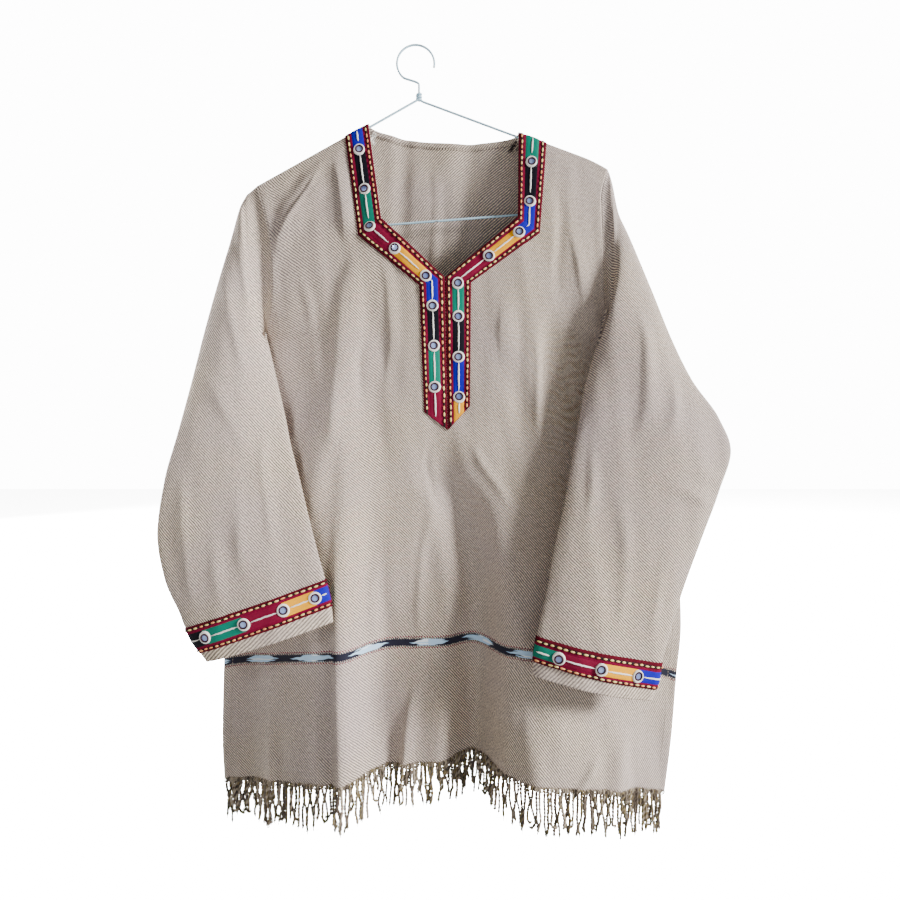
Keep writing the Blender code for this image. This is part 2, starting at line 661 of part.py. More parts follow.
def make_sleeve(name, stations, left_side):
    rings = [armhole_ring(left_side)]
    rings += [sleeve_ring(outer, inner, left_side) for outer, inner in stations]
    around = len(rings[0])
    outer = [point for ring in rings for point in ring]
    triangles = []
    for ring in range(len(rings) - 1):
        for step in range(around):
            a = ring * around + step
            b = ring * around + (step + 1) % around
            c = b + around
            d = a + around
            triangles += [(a, b, c), (a, c, d)]
    if left_side:
        triangles = [tuple(reversed(triangle)) for triangle in triangles]
    normals = point_normals(outer, triangles)
    middle_ring = len(rings) // 2
    middle = np.mean(np.array(rings[middle_ring]), axis=0)
    sample = middle_ring * around + SLEEVE_HALF_POINTS // 2
    if np.dot(normals[sample], np.array(outer[sample]) - middle) < 0:
        normals = -normals
    normals[:around, 0] = 0.0
    normals[:around] /= np.linalg.norm(normals[:around], axis=1)[:, None]
    inner = [tuple(np.array(point) - CLOTH * normal) for point, normal in zip(outer, normals)]
    slab(name, outer, inner, triangles, "twill")
    return outer, normals, triangles, around


def make_cuff_trim(side, sleeve):
    """Ribbon round a cuff, made from the sleeve's own rings moved out."""
    outer, normals, triangles, around = sleeve
    ring_count = len(outer) // around
    first = (ring_count + CUFF_RIBBON_ROWS[0]) * around
    last = (ring_count + CUFF_RIBBON_ROWS[1] + 1) * around
    chosen = [triangle for triangle in triangles if all(first <= index < last for index in triangle)]
    chosen = [tuple(index - first for index in triangle) for triangle in chosen]
    near = [tuple(np.array(outer[i]) + RIBBON_GAP * normals[i]) for i in range(first, last)]
    lift = RIBBON_GAP + RIBBON_THICK
    far = [tuple(np.array(outer[i]) + lift * normals[i]) for i in range(first, last)]
    slab("cuff_trim_" + side, far, near, chosen, "ribbon")
    return far, chosen, around


# Neck ribbons

def cut_sheet(points, triangles, lines):
    """Keeps the part of a sheet that lies to the left of each line, seen from the front."""
    sheet = bmesh.new()
    corners = [sheet.verts.new(point) for point in points]
    for triangle in triangles:
        sheet.faces.new([corners[index] for index in triangle])
    for (start_x, start_z), (end_x, end_z) in lines:
        across = Vector((end_z - start_z, 0.0, start_x - end_x)).normalized()
        bmesh.ops.bisect_plane(
            sheet, geom=sheet.verts[:] + sheet.edges[:] + sheet.faces[:], dist=CUT_TOLERANCE,
            plane_co=(start_x, 0.0, start_z), plane_no=across, clear_outer=True,
        )
    loose = [corner for corner in sheet.verts if not corner.link_faces]
    bmesh.ops.delete(sheet, geom=loose, context="VERTS")
    bmesh.ops.triangulate(sheet, faces=sheet.faces[:])
    sheet.verts.index_update()
    result = [tuple(corner.co) for corner in sheet.verts]
    faces = [tuple(corner.index for corner in face.verts) for face in sheet.faces]
    sheet.free()
    return result, faces


def joined(pieces):
    """Several cut sheets as one, their shared corners merged and slivers closed up."""
    sheet = bmesh.new()
    for points, faces in pieces:
        corners = [sheet.verts.new(point) for point in points]
        for face in faces:
            sheet.faces.new([corners[index] for index in face])
    bmesh.ops.remove_doubles(sheet, verts=sheet.verts[:], dist=MERGE_WITHIN)
    sheet.verts.index_update()
    points = [tuple(corner.co) for corner in sheet.verts]
    faces = [tuple(corner.index for corner in face.verts) for face in sheet.faces]
    sheet.free()
    return points, faces


def make_neck_trim(side, points, triangles):
    """Ribbon along the neck side, the slope and the placket, cut from the front panel's outer face."""
    left = side == "left"
    corner = NECK_CORNER_LEFT if left else NECK_CORNER_RIGHT
    outer_top, outer_corner = TRIM_SIDE_LEFT if left else TRIM_SIDE_RIGHT
    placket_top = PLACKET_TOP_LEFT if left else PLACKET_TOP_RIGHT
    placket_corner = PLACKET_CORNER_LEFT if left else PLACKET_CORNER_RIGHT
    shift = -PLACKET_GAP if left else PLACKET_GAP
    inner_top = (NECK_POINT[0] + shift, NECK_POINT[1])
    inner_tip = (PLACKET_TIP[0] + shift, PLACKET_TIP[1])
    high_outer = (outer_top[0], outer_top[1] + TRIM_RUNOUT)
    stretches = (
        ((high_outer, outer_corner), (outer_corner, corner)),
        ((corner, outer_corner), (outer_corner, placket_top), (placket_top, inner_top),
         (inner_tip, inner_top)),
        ((inner_top, placket_top), (placket_top, placket_corner), (placket_corner, inner_tip),
         (inner_tip, inner_top)),
    )
    if left:
        zone = [face for face in triangles if max(points[i][0] for i in face) < NECK_POINT[0] + TRIM_ACROSS]
    else:
        zone = [face for face in triangles if min(points[i][0] for i in face) > NECK_POINT[0] - TRIM_ACROSS]
    pieces = []
    for number, lines in enumerate(stretches):
        chosen = zone
        if number == 0:
            chosen = [face for face in zone if min(points[i][2] for i in face) > TRIM_SIDE_LOWEST_Z]
        if not left:
            lines = [(end, start) for start, end in lines]
        pieces.append(cut_sheet(points, chosen, lines))
    ribbon, faces = joined(pieces)
    near = [(x, y - RIBBON_GAP, z) for x, y, z in ribbon]
    far = [(x, y - RIBBON_GAP - RIBBON_THICK, z) for x, y, z in ribbon]
    slab("neck_trim_" + side, far, near, faces, "ribbon")
    neck_x = NECK_LEFT_X if left else NECK_RIGHT_X
    middles = {
        "side": (halfway(outer_top, (neck_x, outer_top[1] + TRIM_START)), halfway(outer_corner, corner)),
        "slope": (halfway(outer_corner, corner), halfway(placket_top, inner_top)),
        "placket": (halfway(placket_top, inner_top), halfway(placket_corner, inner_tip)),
    }
    return far, faces, middles


def halfway(a, b):
    return ((a[0] + b[0]) / 2, (a[1] + b[1]) / 2)


# Mirrors

def add_mirror(name, tree, start, direction):
    """A round mirror seated on the ribbon where a line of sight meets it."""
    place, normal, _, _ = tree.ray_cast(Vector(start), Vector(direction))
    if normal.dot(Vector(direction)) > 0:
        normal = -normal
    sideways = normal.cross(Vector((0.0, 0.0, 1.0))).normalized()
    upward = sideways.cross(normal).normalized()
    turns = [2 * math.pi * step / MIRROR_SIDES for step in range(MIRROR_SIDES)]
    rim = [sideways * math.cos(turn) + upward * math.sin(turn) for turn in turns]
    lift = 0.0
    for reach in MIRROR_PROBES:
        for spoke in rim:
            probe = place + spoke * MIRROR_RADIUS * reach + normal * PROBE_HEIGHT
            hit, _, _, _ = tree.ray_cast(probe, -normal)
            if hit is not None:
                lift = max(lift, (hit - place).dot(normal))
    low = place + normal * (lift + MIRROR_SEAT)
    high = low + normal * MIRROR_THICK
    points = [tuple(low + spoke * MIRROR_RADIUS) for spoke in rim]
    points += [tuple(high + spoke * (MIRROR_RADIUS - MIRROR_CHAMFER)) for spoke in rim]
    faces = [tuple(range(MIRROR_SIDES)), tuple(range(MIRROR_SIDES, 2 * MIRROR_SIDES))]
    for step in range(MIRROR_SIDES):
        following = (step + 1) % MIRROR_SIDES
        faces.append((step, following, following + MIRROR_SIDES, step + MIRROR_SIDES))
    add_object(name, points, faces, "mirror")


def make_neck_mirrors(side, ribbon):
    points, faces, middles = ribbon
    tree = BVHTree.FromPolygons([Vector(point) for point in points], faces)
    number = 0
    for stretch, distances in NECK_MIRRORS[side].items():
        (start_x, start_z), (end_x, end_z) = middles[stretch]
        length = math.hypot(end_x - start_x, end_z - start_z)
        for distance in distances:
            number += 1
            x = mix(start_x, end_x, distance / length)
            z = mix(start_z, end_z, distance / length)
            add_mirror(f"mirror_neck_{side}_{number}", tree, (x, -SIGHT_FROM, z), (0.0, 1.0, 0.0))


def make_cuff_mirrors(side, ribbon):
    points, faces, around = ribbon
    tree = BVHTree.FromPolygons([Vector(point) for point in points], faces)
    upper = np.array(points[:around])
    lower = np.array(points[-around:])
    middle = (upper + lower) / 2
    outer_end = middle[0]
    inner_end = middle[SLEEVE_HALF_POINTS]
    for face_name, shares in CUFF_MIRRORS[side].items():
        forward = 1.0 if face_name == "front" else -1.0
        for number, share in enumerate(shares, start=1):
            x, _, z = outer_end + (inner_end - outer_end) * share
            name = f"mirror_cuff_{side}_{face_name}_{number}"
            add_mirror(name, tree, (x, -SIGHT_FROM * forward, z), (0.0, forward, 0.0))


# Fringe

def resampled(pairs, distances):
    """Pairs of hem points at the given distances along the hem's outer face."""
    outer = np.array([pair[0] for pair in pairs])
    inner = np.array([pair[1] for pair in pairs])
    steps = np.linalg.norm(np.diff(outer, axis=0), axis=1)
    along = np.concatenate(([0.0], np.cumsum(steps)))
    result = []
    for distance in distances:
        result.append((
            np.array([np.interp(distance, along, outer[:, axis]) for axis in range(3)]),
            np.array([np.interp(distance, along, inner[:, axis]) for axis in range(3)]),
        ))
    return result


def hem_length(pairs):
    outer = np.array([pair[0] for pair in pairs])
    return float(np.linalg.norm(np.diff(outer, axis=0), axis=1).sum())


def make_fringe(name, pairs, strand_count, seed):
    """A narrow strip under the hem, with a strand drawn down from every second stretch of it."""
    dice = random.Random(seed)
    length = hem_length(pairs)
    pitch = (length - 2 * STRIP_END) / strand_count
    edges = [0.0]
    for strand in range(strand_count):
        middle = STRIP_END + pitch * (strand + 0.5)
        edges += [middle - STRAND_WIDE / 2, middle + STRAND_WIDE / 2]
    edges.append(length)
    stations = resampled(pairs, edges)
    down = np.array((0.0, 0.0, -1.0))
    points = []
    for outer, inner in stations:
        points += [outer + down * SEAM_GAP, inner + down * SEAM_GAP]
        points += [outer + down * (SEAM_GAP + FRINGE_STRIP), inner + down * (SEAM_GAP + FRINGE_STRIP)]
    faces = [(0, 1, 3, 2)]
    end = 4 * (len(stations) - 1)
    faces.append((end, end + 2, end + 3, end + 1))
    for cell in range(len(stations) - 1):
        a = 4 * cell
        b = a + 4
        faces.append((a, a + 2, b + 2, b))
        faces.append((a + 1, b + 1, b + 3, a + 3))
        faces.append((a, b, b + 1, a + 1))
        root = (a + 2, a + 3, b + 3, b + 2)
        if cell % 2 == 0:
            faces.append(root)
            continue
        drop = FRINGE_LENGTH * dice.uniform(*STRAND_LENGTHS)
        lean = np.array((dice.uniform(-1, 1), dice.uniform(-1, 1), 0.0)) * STRAND_SWAY
        bow = np.array((dice.uniform(-1, 1), dice.uniform(-1, 1), 0.0)) * STRAND_SWAY
        middle = np.mean([points[index] for index in root], axis=0)
        previous = root
        for share, offset, size in ((0.5, bow, STRAND_WAIST), (1.0, lean, STRAND_TIP / STRAND_WIDE)):
            ring = []
            for index in root:
                spread = (points[index] - middle) * size
                ring.append(len(points))
                points.append(middle + spread + offset + down * drop * share)
            for side in range(4):
                following = (side + 1) % 4
                faces.append((previous[side], previous[following], ring[following], ring[side]))
            previous = ring
        faces.append(tuple(previous))
    add_object(name, [tuple(point) for point in points], faces, "fringe")


# Hanger

def add_wire(name, points, closed):
    """A round wire along points given as (x, z)."""
    curve = bpy.data.curves.new(name, "CURVE")
    curve.dimensions = "3D"
    curve.bevel_depth = WIRE_RADIUS * MM
    curve.bevel_resolution = 1
    curve.use_fill_caps = True
    spline = curve.splines.new("POLY")
    spline.points.add(len(points) - 1)
    for target, (x, z) in zip(spline.points, points):
        target.co = (x * MM, 0.0, z * MM, 1.0)
    spline.use_cyclic_u = closed
    wire = bpy.data.objects.new(name, curve)
    bpy.context.scene.collection.objects.link(wire)
    bpy.context.view_layer.update()
    mesh = bpy.data.meshes.new_from_object(wire.evaluated_get(bpy.context.evaluated_depsgraph_get()))
    bpy.data.objects.remove(wire)
    result = bpy.data.objects.new(name, mesh)
    bpy.context.scene.collection.objects.link(result)
    return result


def arc(centre, radius, start_deg, end_deg, steps):
    turns = [math.radians(mix(start_deg, end_deg, step / steps)) for step in range(steps + 1)]
    return [(centre[0] + radius * math.cos(turn), centre[1] + radius * math.sin(turn)) for turn in turns]


def hanger_frame():
    """Outline of arms, round ends and bar, in the part's own place and tilt."""
    slope = math.radians(ARM_DEG)
    radius = HANGER_DROP * math.cos(slope) - HANGER_HALF * math.sin(slope)
    radius /= 1.0 + math.cos(slope) - math.sin(slope)
    centre = (HANGER_HALF - radius, radius - HANGER_DROP)
    right_end = arc(centre, radius, 90.0 - ARM_DEG, -90.0, HANGER_END_STEPS)
    left_end = [(-x, z) for x, z in reversed(right_end)]
    tilt = math.radians(TILT_DEG)
    outline = []
    for x, z in [(0.0, 0.0)] + right_end + left_end:
        turned_x = x * math.cos(tilt) - z * math.sin(tilt)
        turned_z = x * math.sin(tilt) + z * math.cos(tilt)
        outline.append((APEX[0] + turned_x, APEX[1] + turned_z))
    return outline


def make_hanger():
    hook_centre = (0.0, WIRE_RADIUS - HOOK_RADIUS)
    hook = arc(hook_centre, HOOK_RADIUS, HOOK_FROM_DEG, HOOK_TO_DEG, HOOK_STEPS)
    bend = (APEX[0], hook[0][1] - (APEX[0] - hook[0][0]))
    stem = [(APEX[0], APEX[1] - WIRE_RADIUS / 2), (bend[0], bend[1] - STEM_SHORT)]
    lead = [(bend[0] - left, bend[1] + up) for left, up in HOOK_LEAD]
    body = add_wire("hanger", stem + lead + hook, False)
    frame = add_wire("hanger_frame", hanger_frame(), True)
    mesh = bpy.data.meshes.new("twist")
    collar = bmesh.new()
    bmesh.ops.create_cone(
        collar, cap_ends=True, segments=TWIST_SIDES, radius1=TWIST_RADIUS * MM, radius2=TWIST_RADIUS * MM,
        depth=TWIST_HEIGHT * MM,
    )
    collar.to_mesh(mesh)
    collar.free()
    twist = bpy.data.objects.new("twist", mesh)
    twist.location = (APEX[0] * MM, 0.0, (APEX[1] + TWIST_HEIGHT / 2 - TWIST_BELOW) * MM)
    bpy.context.scene.collection.objects.link(twist)
    for other in (frame, twist):
        other.hide_render = True
        other.display_type = "WIRE"
        union = body.modifiers.new("join_" + other.name, "BOOLEAN")
        union.operation = "UNION"
        union.solver = "EXACT"
        union.object = other
    body.data.materials.append(finish_material("wire"))


def make_tunic():
    for item in list(bpy.data.objects):
        bpy.data.objects.remove(item)
    make_hanger()
    front_points, front_triangles, front_hem = make_front()
    back_hem = make_back()
    for side, stations in (("left", SLEEVE_LEFT), ("right", SLEEVE_RIGHT)):
        sleeve = make_sleeve("sleeve_" + side, stations, side == "left")
        cuff_ribbon = make_cuff_trim(side, sleeve)
        make_cuff_mirrors(side, cuff_ribbon)
        neck_ribbon = make_neck_trim(side, front_points, front_triangles)
        make_neck_mirrors(side, neck_ribbon)
    make_fringe("fringe_front", front_hem, STRANDS_FRONT, FRINGE_SEEDS[0])
    make_fringe("fringe_back", back_hem, STRANDS_BACK, FRINGE_SEEDS[1])


make_tunic()
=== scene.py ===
import math
import random
import bpy
import numpy as np
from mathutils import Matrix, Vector


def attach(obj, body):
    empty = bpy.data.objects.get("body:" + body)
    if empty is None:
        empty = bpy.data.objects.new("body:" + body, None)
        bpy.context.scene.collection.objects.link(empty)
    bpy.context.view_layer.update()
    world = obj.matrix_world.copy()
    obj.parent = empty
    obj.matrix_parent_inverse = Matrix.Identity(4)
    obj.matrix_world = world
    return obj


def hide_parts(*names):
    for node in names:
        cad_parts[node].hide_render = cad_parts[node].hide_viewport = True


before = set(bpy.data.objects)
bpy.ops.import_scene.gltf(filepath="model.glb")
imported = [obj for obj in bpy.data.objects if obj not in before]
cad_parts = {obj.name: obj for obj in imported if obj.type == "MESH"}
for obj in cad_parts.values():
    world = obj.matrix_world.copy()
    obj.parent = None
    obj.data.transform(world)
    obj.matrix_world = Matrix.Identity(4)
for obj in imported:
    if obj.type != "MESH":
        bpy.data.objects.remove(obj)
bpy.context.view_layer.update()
mm = 0.001                      # every length below is in millimetres until a mesh is made
print("frame loaded")


# the camera stands where the photographer did

camera = {"x": 39.55, "y": -640.0, "z": -464.4, "lens": 22.26, "sensor": 36.0}
cameraData = bpy.data.cameras.new("studioCamera")
cameraData.lens = camera["lens"]
cameraData.sensor_width = camera["sensor"]
cameraData.clip_start = 0.01
cameraObject = bpy.data.objects.new("studioCamera", cameraData)
cameraObject.location = [camera[axis] * mm for axis in "xyz"]
cameraObject.rotation_euler = (math.pi / 2, 0.0, 0.0)
bpy.context.scene.collection.objects.link(cameraObject)
bpy.context.scene.camera = cameraObject


# small helpers for numbers

def mix(a, b, share):
    return a + (b - a) * share


def ease(value):
    value = np.clip(value, 0.0, 1.0)
    return value * value * (3.0 - 2.0 * value)


def smoothRows(keys, values, at):  # a curve through rows that never swings past them
    keys = np.asarray(keys, float)
    values = np.asarray(values, float)
    at = np.clip(np.asarray(at, float), keys[0], keys[-1])
    gaps = np.diff(keys)
    rises = np.diff(values) / gaps
    slopes = np.empty_like(values)
    slopes[0] = rises[0]
    slopes[-1] = rises[-1]
    product = rises[:-1] * rises[1:]
    total = np.where(np.abs(rises[:-1] + rises[1:]) < 1e-9, 1.0, rises[:-1] + rises[1:])
    slopes[1:-1] = np.where(product > 0, 2 * product / total, 0.0)
    row = np.clip(np.searchsorted(keys, at, side="right") - 1, 0, len(keys) - 2)
    t = (at - keys[row]) / gaps[row]
    a, b = values[row], values[row + 1]
    m, n = slopes[row] * gaps[row], slopes[row + 1] * gaps[row]
    return ((2 * t - 3) * t * t + 1) * a + ((t - 2) * t + 1) * t * m + (3 - 2 * t) * t * t * b + (t - 1) * t * t * n


def unit(vectors):
    vectors = np.asarray(vectors, float)
    return vectors / np.maximum(np.linalg.norm(vectors, axis=-1, keepdims=True), 1e-9)


def alongLength(points, axis=0):  # running length of a grid of points along one of its axes
    steps = np.linalg.norm(np.diff(points, axis=axis), axis=-1)
    start = np.zeros_like(np.take(steps, [0], axis=axis))
    return np.concatenate([start, np.cumsum(steps, axis=axis)], axis=axis)


class Heap:  # many small forms gathered into one mesh
    def __init__(self):
        self.points, self.faces, self.kinds, self.maps, self.tones = [], [], [], [], []
        self.count = 0

    def add(self, points, faces, kind=0, maps=None, tone=0.5):
        points = np.asarray(points, float).reshape(-1, 3)
        self.points.append(points)
        self.faces += [tuple(int(i) + self.count for i in face) for face in faces]
        self.kinds += [kind] * len(faces)
        self.maps.append(np.zeros((len(points), 2)) if maps is None else np.asarray(maps, float).reshape(-1, 2))
        self.tones.append(np.broadcast_to(np.asarray(tone, float), (len(points),)).copy())
        self.count += len(points)

    def build(self, name, materials, smooth=True):
        obj = meshPiece(name, np.concatenate(self.points), self.faces, materials,
                        maps=np.concatenate(self.maps), smooth=smooth)
        obj.data.polygons.foreach_set("material_index", self.kinds)
        layer = obj.data.attributes.new("tone", "FLOAT", "POINT")
        layer.data.foreach_set("value", np.concatenate(self.tones))
        return obj


def meshPiece(name, points, faces, materials, maps=None, loopMaps=None, smooth=True):
    mesh = bpy.data.meshes.new(name)
    mesh.from_pydata((np.asarray(points, float) * mm).tolist(), [], [tuple(map(int, face)) for face in faces])
    if maps is not None or loopMaps is not None:
        layer = mesh.uv_layers.new(name="clothMap")
        if loopMaps is None:
            corners = np.empty(len(mesh.loops), int)
            mesh.loops.foreach_get("vertex_index", corners)
            loopMaps = np.asarray(maps, float)[corners]
        layer.data.foreach_set("uv", (np.asarray(loopMaps, float) * mm).ravel())
    if smooth:
        mesh.shade_smooth()
    for material in materials:
        mesh.materials.append(material)
    obj = bpy.data.objects.new(name, mesh)
    bpy.context.scene.collection.objects.link(obj)
    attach(obj, "root")
    return obj


def gridFaces(rows, columns, wrap=False, flip=False):
    faces = []
    for r in range(rows - 1):
        for c in range(columns if wrap else columns - 1):
            a, b = r * columns + c, r * columns + (c + 1) % columns
            face = (a, b, b + columns, a + columns)
            faces.append(face[::-1] if flip else face)
    return faces


def thicken(obj, thick, offset=-1.0):
    wall = obj.modifiers.new("clothThickness", "SOLIDIFY")
    wall.thickness = thick * mm
    wall.offset = offset
    wall.use_rim = True
    return obj


# materials

class Net:  # the nodes of one material or group, and the few ways in which they are joined here
    def __init__(self, tree):
        self.nodes, self.links = tree.nodes, tree.links

    def feed(self, sockets, values):
        for label, value in values.items():
            if hasattr(value, "links"):
                self.links.new(value, sockets[label])
            elif sockets[label].type == "RGBA":
                sockets[label].default_value = (*value, 1.0)
            else:
                sockets[label].default_value = value

    def add(self, kind, values={}, **settings):
        node = self.nodes.new("ShaderNode" + kind)
        for name, value in settings.items():
            setattr(node, name, value)
        self.feed(node.inputs, values)
        return node.outputs

    def math(self, operation, *values):
        return self.add("Math", dict(enumerate(values)), operation=operation)[0]

    def blend(self, share, first, second):
        return self.add("Mix", {0: share, 6: first, 7: second}, data_type="RGBA")[2]

    def noise(self, place, scale, detail=2.0):
        return self.add("TexNoise", {"Vector": place, "Scale": scale, "Detail": detail})[0]

    def bump(self, height, strength, distance):
        return self.add("Bump", {"Height": height, "Strength": strength, "Distance": distance})[0]

    def split(self, place):
        return self.add("SeparateXYZ", {0: place})

    def wave(self, along, length):  # rises and falls once in each length
        return self.math("ABSOLUTE", self.math("SINE", self.math("MULTIPLY", along, math.pi / length)))

    def ownPlace(self):
        return self.add("TexCoord")["Object"]

    def clothMap(self):
        return self.add("UVMap", uv_map="clothMap")[0]

    def tone(self):
        return self.add("Attribute", attribute_name="tone")["Fac"]


class Look(Net):  # a material, with the fixed values of its shader
    def __init__(self, name, values):
        self.material = bpy.data.materials.new(name)
        self.material.use_nodes = True
        super().__init__(self.material.node_tree)
        self.shader = self.nodes["Principled BSDF"]
        self.dress(values)

    def dress(self, values):
        self.feed(self.shader.inputs, values)
        return self.material


def newGroup(name, inputs, outputs):
    tree = bpy.data.node_groups.new(name, "ShaderNodeTree")
    for way, sockets in (("INPUT", inputs), ("OUTPUT", outputs)):
        for label, kind in sockets.items():
            tree.interface.new_socket(label, in_out=way, socket_type="NodeSocket" + kind)
    net = Net(tree)
    return tree, net, net.nodes.new("NodeGroupInput").outputs, net.nodes.new("NodeGroupOutput").inputs


def makeWeaveGroup():  # a two-and-two twill: each thread goes over two and under two, a step further each row
    tree, net, given, result = newGroup("twillWeave", {"Map": "Vector", "Pitch": "Float", "Slub": "Float"},
                                        {"Height": "Float", "WarpUp": "Float", "Uneven": "Float"})
    place = net.split(given["Map"])
    wander = net.math("MULTIPLY", net.math("SUBTRACT", net.noise(given["Map"], 90.0), 0.5), 0.0012)
    u, v = [net.math("DIVIDE", net.math("ADD", place[axis], wander), given["Pitch"]) for axis in (0, 1)]
    step = net.math("ADD", net.math("FLOOR", u), net.math("FLOOR", v))
    warpUp = net.math("LESS_THAN", net.math("FLOORED_MODULO", step, 4.0), 1.5)
    warpHeight = net.math("MULTIPLY", net.wave(u, 1.0), warpUp)
    weftHeight = net.math("MULTIPLY", net.wave(v, 1.0), net.math("SUBTRACT", 1.0, warpUp))
    uneven = net.noise(given["Map"], 420.0, 3.0)
    height = net.math("MULTIPLY_ADD", uneven, given["Slub"], net.math("ADD", warpHeight, weftHeight))
    net.feed(result, {"Height": height, "WarpUp": warpUp, "Uneven": uneven})
    return tree


def makeDyeGroup():  # dye that took unevenly along the threads
    tree, net, given, result = newGroup(
        "unevenDye", {"Colour": "Color", "Uneven": "Float", "Gain": "Float", "Least": "Float"}, {"Colour": "Color"})
    strength = net.math("MULTIPLY_ADD", given["Uneven"], given["Gain"], given["Least"])
    net.feed(result, {"Colour": net.add("VectorMath", {0: given["Colour"], "Scale": strength}, operation="SCALE")[0]})
    return tree


def makePatchGroup():  # broad paler patches where the cloth has been worn and pressed
    tree, net, given, result = newGroup(
        "wornPatches", {"Map": "Vector", "Colour": "Color", "Worn": "Color"}, {"Colour": "Color"})
    share = net.add("MapRange", {"Value": net.noise(given["Map"], 6.0, 4.0), "From Min": 0.3, "From Max": 0.7,
                                 "To Min": 0.0, "To Max": 0.5})[0]
    net.feed(result, {"Colour": net.blend(share, given["Colour"], given["Worn"])})
    return tree


def makeGrainGroup():  # the fibres of a thread, and the tone that each length of it was given
    tree, net, given, result = newGroup("threadGrain", {}, {"Shade": "Float", "Grain": "Float"})
    grain = net.noise(net.ownPlace(), 900.0)
    shade = net.math("MULTIPLY_ADD", net.tone(), 0.6, net.math("MULTIPLY", grain, 0.4))
    net.feed(result, {"Shade": shade, "Grain": grain})
    return tree


def makeRibGroup():  # close-laid threads across a band; its Shade paints the grooves between ribs darker and their crests lighter, mixed with random raggedness
    tree, net, given, result = newGroup("satinRibsPaintedShade", {"Map": "Vector"}, {"Ribs": "Float", "Shade": "Float"})
    ragged = net.noise(given["Map"], 700.0)
    ribs = net.wave(net.math("MULTIPLY_ADD", ragged, 0.0005, net.split(given["Map"])[1]), 0.0011)
    net.feed(result, {"Ribs": ribs, "Shade": net.math("MULTIPLY_ADD", ribs, 0.6, net.math("MULTIPLY", ragged, 0.5))})
    return tree


groups = {"weave": makeWeaveGroup(), "dye": makeDyeGroup(), "patches": makePatchGroup(), "grain": makeGrainGroup(),
          "ribs": makeRibGroup()}

twillCloth = {                       # lengths in metres, as the map has them
    "warp": (0.80, 0.665, 0.51),     # lighter threads, down the cloth
    "weft": (0.060, 0.042, 0.025),   # darker threads, across it
    "turnedWeft": (0.20, 0.155, 0.105),   # the same threads, fluffier, on the wrong side of the cloth
    "worn": (0.36, 0.295, 0.33),
    "pitch": 0.00080, "hemPitch": 0.0011, "bump": 0.35,
    "stripeUp": 0.134,               # middle of the woven stripe above the hem
    "stripePeriod": 0.069, "stripeShift": 0.21, "stripeHalf": 0.0037, "stripeThread": 0.00115,
    "sky": (0.44, 0.63, 0.82), "skyLight": (0.78, 0.85, 0.90), "navy": (0.012, 0.012, 0.025),
    "rose": (0.16, 0.010, 0.035),
    "dottedLines": ((0.0044, "navy", 0.0024), (0.0061, "rose", 0.0030)),   # how far out, colour, from dot to dot
    "dottedHalf": 0.0006,
}


def addStripe(net, clothMap, colour):  # tied and dyed warp: sky spindles between navy stretches, dotted lines beside
    place = net.split(clothMap)
    wobble = net.math("SUBTRACT", net.noise(clothMap, 260.0), 0.5)
    up = net.math("MULTIPLY_ADD", wobble, 0.0008, net.math("SUBTRACT", place[1], twillCloth["stripeUp"]))
    across = net.math("ABSOLUTE", up)
    phase = net.math("MULTIPLY_ADD", place[0], 1 / twillCloth["stripePeriod"], twillCloth["stripeShift"])
    fromMiddle = net.math("ABSOLUTE", net.math("SUBTRACT", net.math("FRACT", phase), 0.5))
    # each thread of the stripe changes colour a little sooner or later than the next, so the ends are forked
    thread = net.add("CombineXYZ", {0: net.math("FLOOR", net.math("DIVIDE", up, twillCloth["stripeThread"])),
                                    1: net.math("FLOOR", net.math("MULTIPLY", phase, 2.0))})[0]
    uneven = net.add("TexWhiteNoise", {"Vector": thread}, noise_dimensions="2D")[0]
    reach = net.math("MULTIPLY_ADD", uneven, 0.20, net.math("MULTIPLY_ADD", across, -60.0, 0.23))
    inCore = net.math("LESS_THAN", across, twillCloth["stripeHalf"])
    inSpindle = net.math("MULTIPLY", inCore, net.math("LESS_THAN", fromMiddle, reach))
    streak = net.blend(net.math("LESS_THAN", uneven, 0.3), twillCloth["sky"], twillCloth["skyLight"])
    colour = net.blend(inSpindle, net.blend(inCore, colour, twillCloth["navy"]), streak)
    for away, tint, beat in twillCloth["dottedLines"]:
        off = net.math("ABSOLUTE", net.math("SUBTRACT", across, away))
        dots = net.math("GREATER_THAN", net.math("SINE", net.math("MULTIPLY", place[0], 2 * math.pi / beat)), -0.1)
        here = net.math("MULTIPLY", net.math("LESS_THAN", off, twillCloth["dottedHalf"]), dots)
        colour = net.blend(here, colour, twillCloth[tint])
    return colour


def makeTwill(name, pitch, striped=False, turned=False):
    look = Look(name, {"Roughness": 0.92, "Specular IOR Level": 0.2, "Sheen Weight": 0.06, "Sheen Roughness": 0.5})
    cloth = place = look.clothMap()
    if turned:                       # the wrong side of the cloth, whose lines climb the other way
        place = look.add("Mapping", {"Vector": cloth, "Scale": (-1, 1, 1)})[0]
    weave = look.add("Group", {"Map": place, "Pitch": pitch, "Slub": 0.6}, node_tree=groups["weave"])
    colour = look.blend(weave["WarpUp"], twillCloth["turnedWeft" if turned else "weft"], twillCloth["warp"])
    colour = look.add("Group", {"Map": cloth, "Colour": colour, "Worn": twillCloth["worn"]},
                      node_tree=groups["patches"])[0]
    colour = look.add("Group", {"Colour": colour, "Uneven": weave["Uneven"], "Gain": 1.3, "Least": 0.35},
                      node_tree=groups["dye"])[0]
    if striped:
        colour = addStripe(look, cloth, colour)
    return look.dress({"Base Color": colour, "Normal": look.bump(weave["Height"], twillCloth["bump"], 0.0006)})


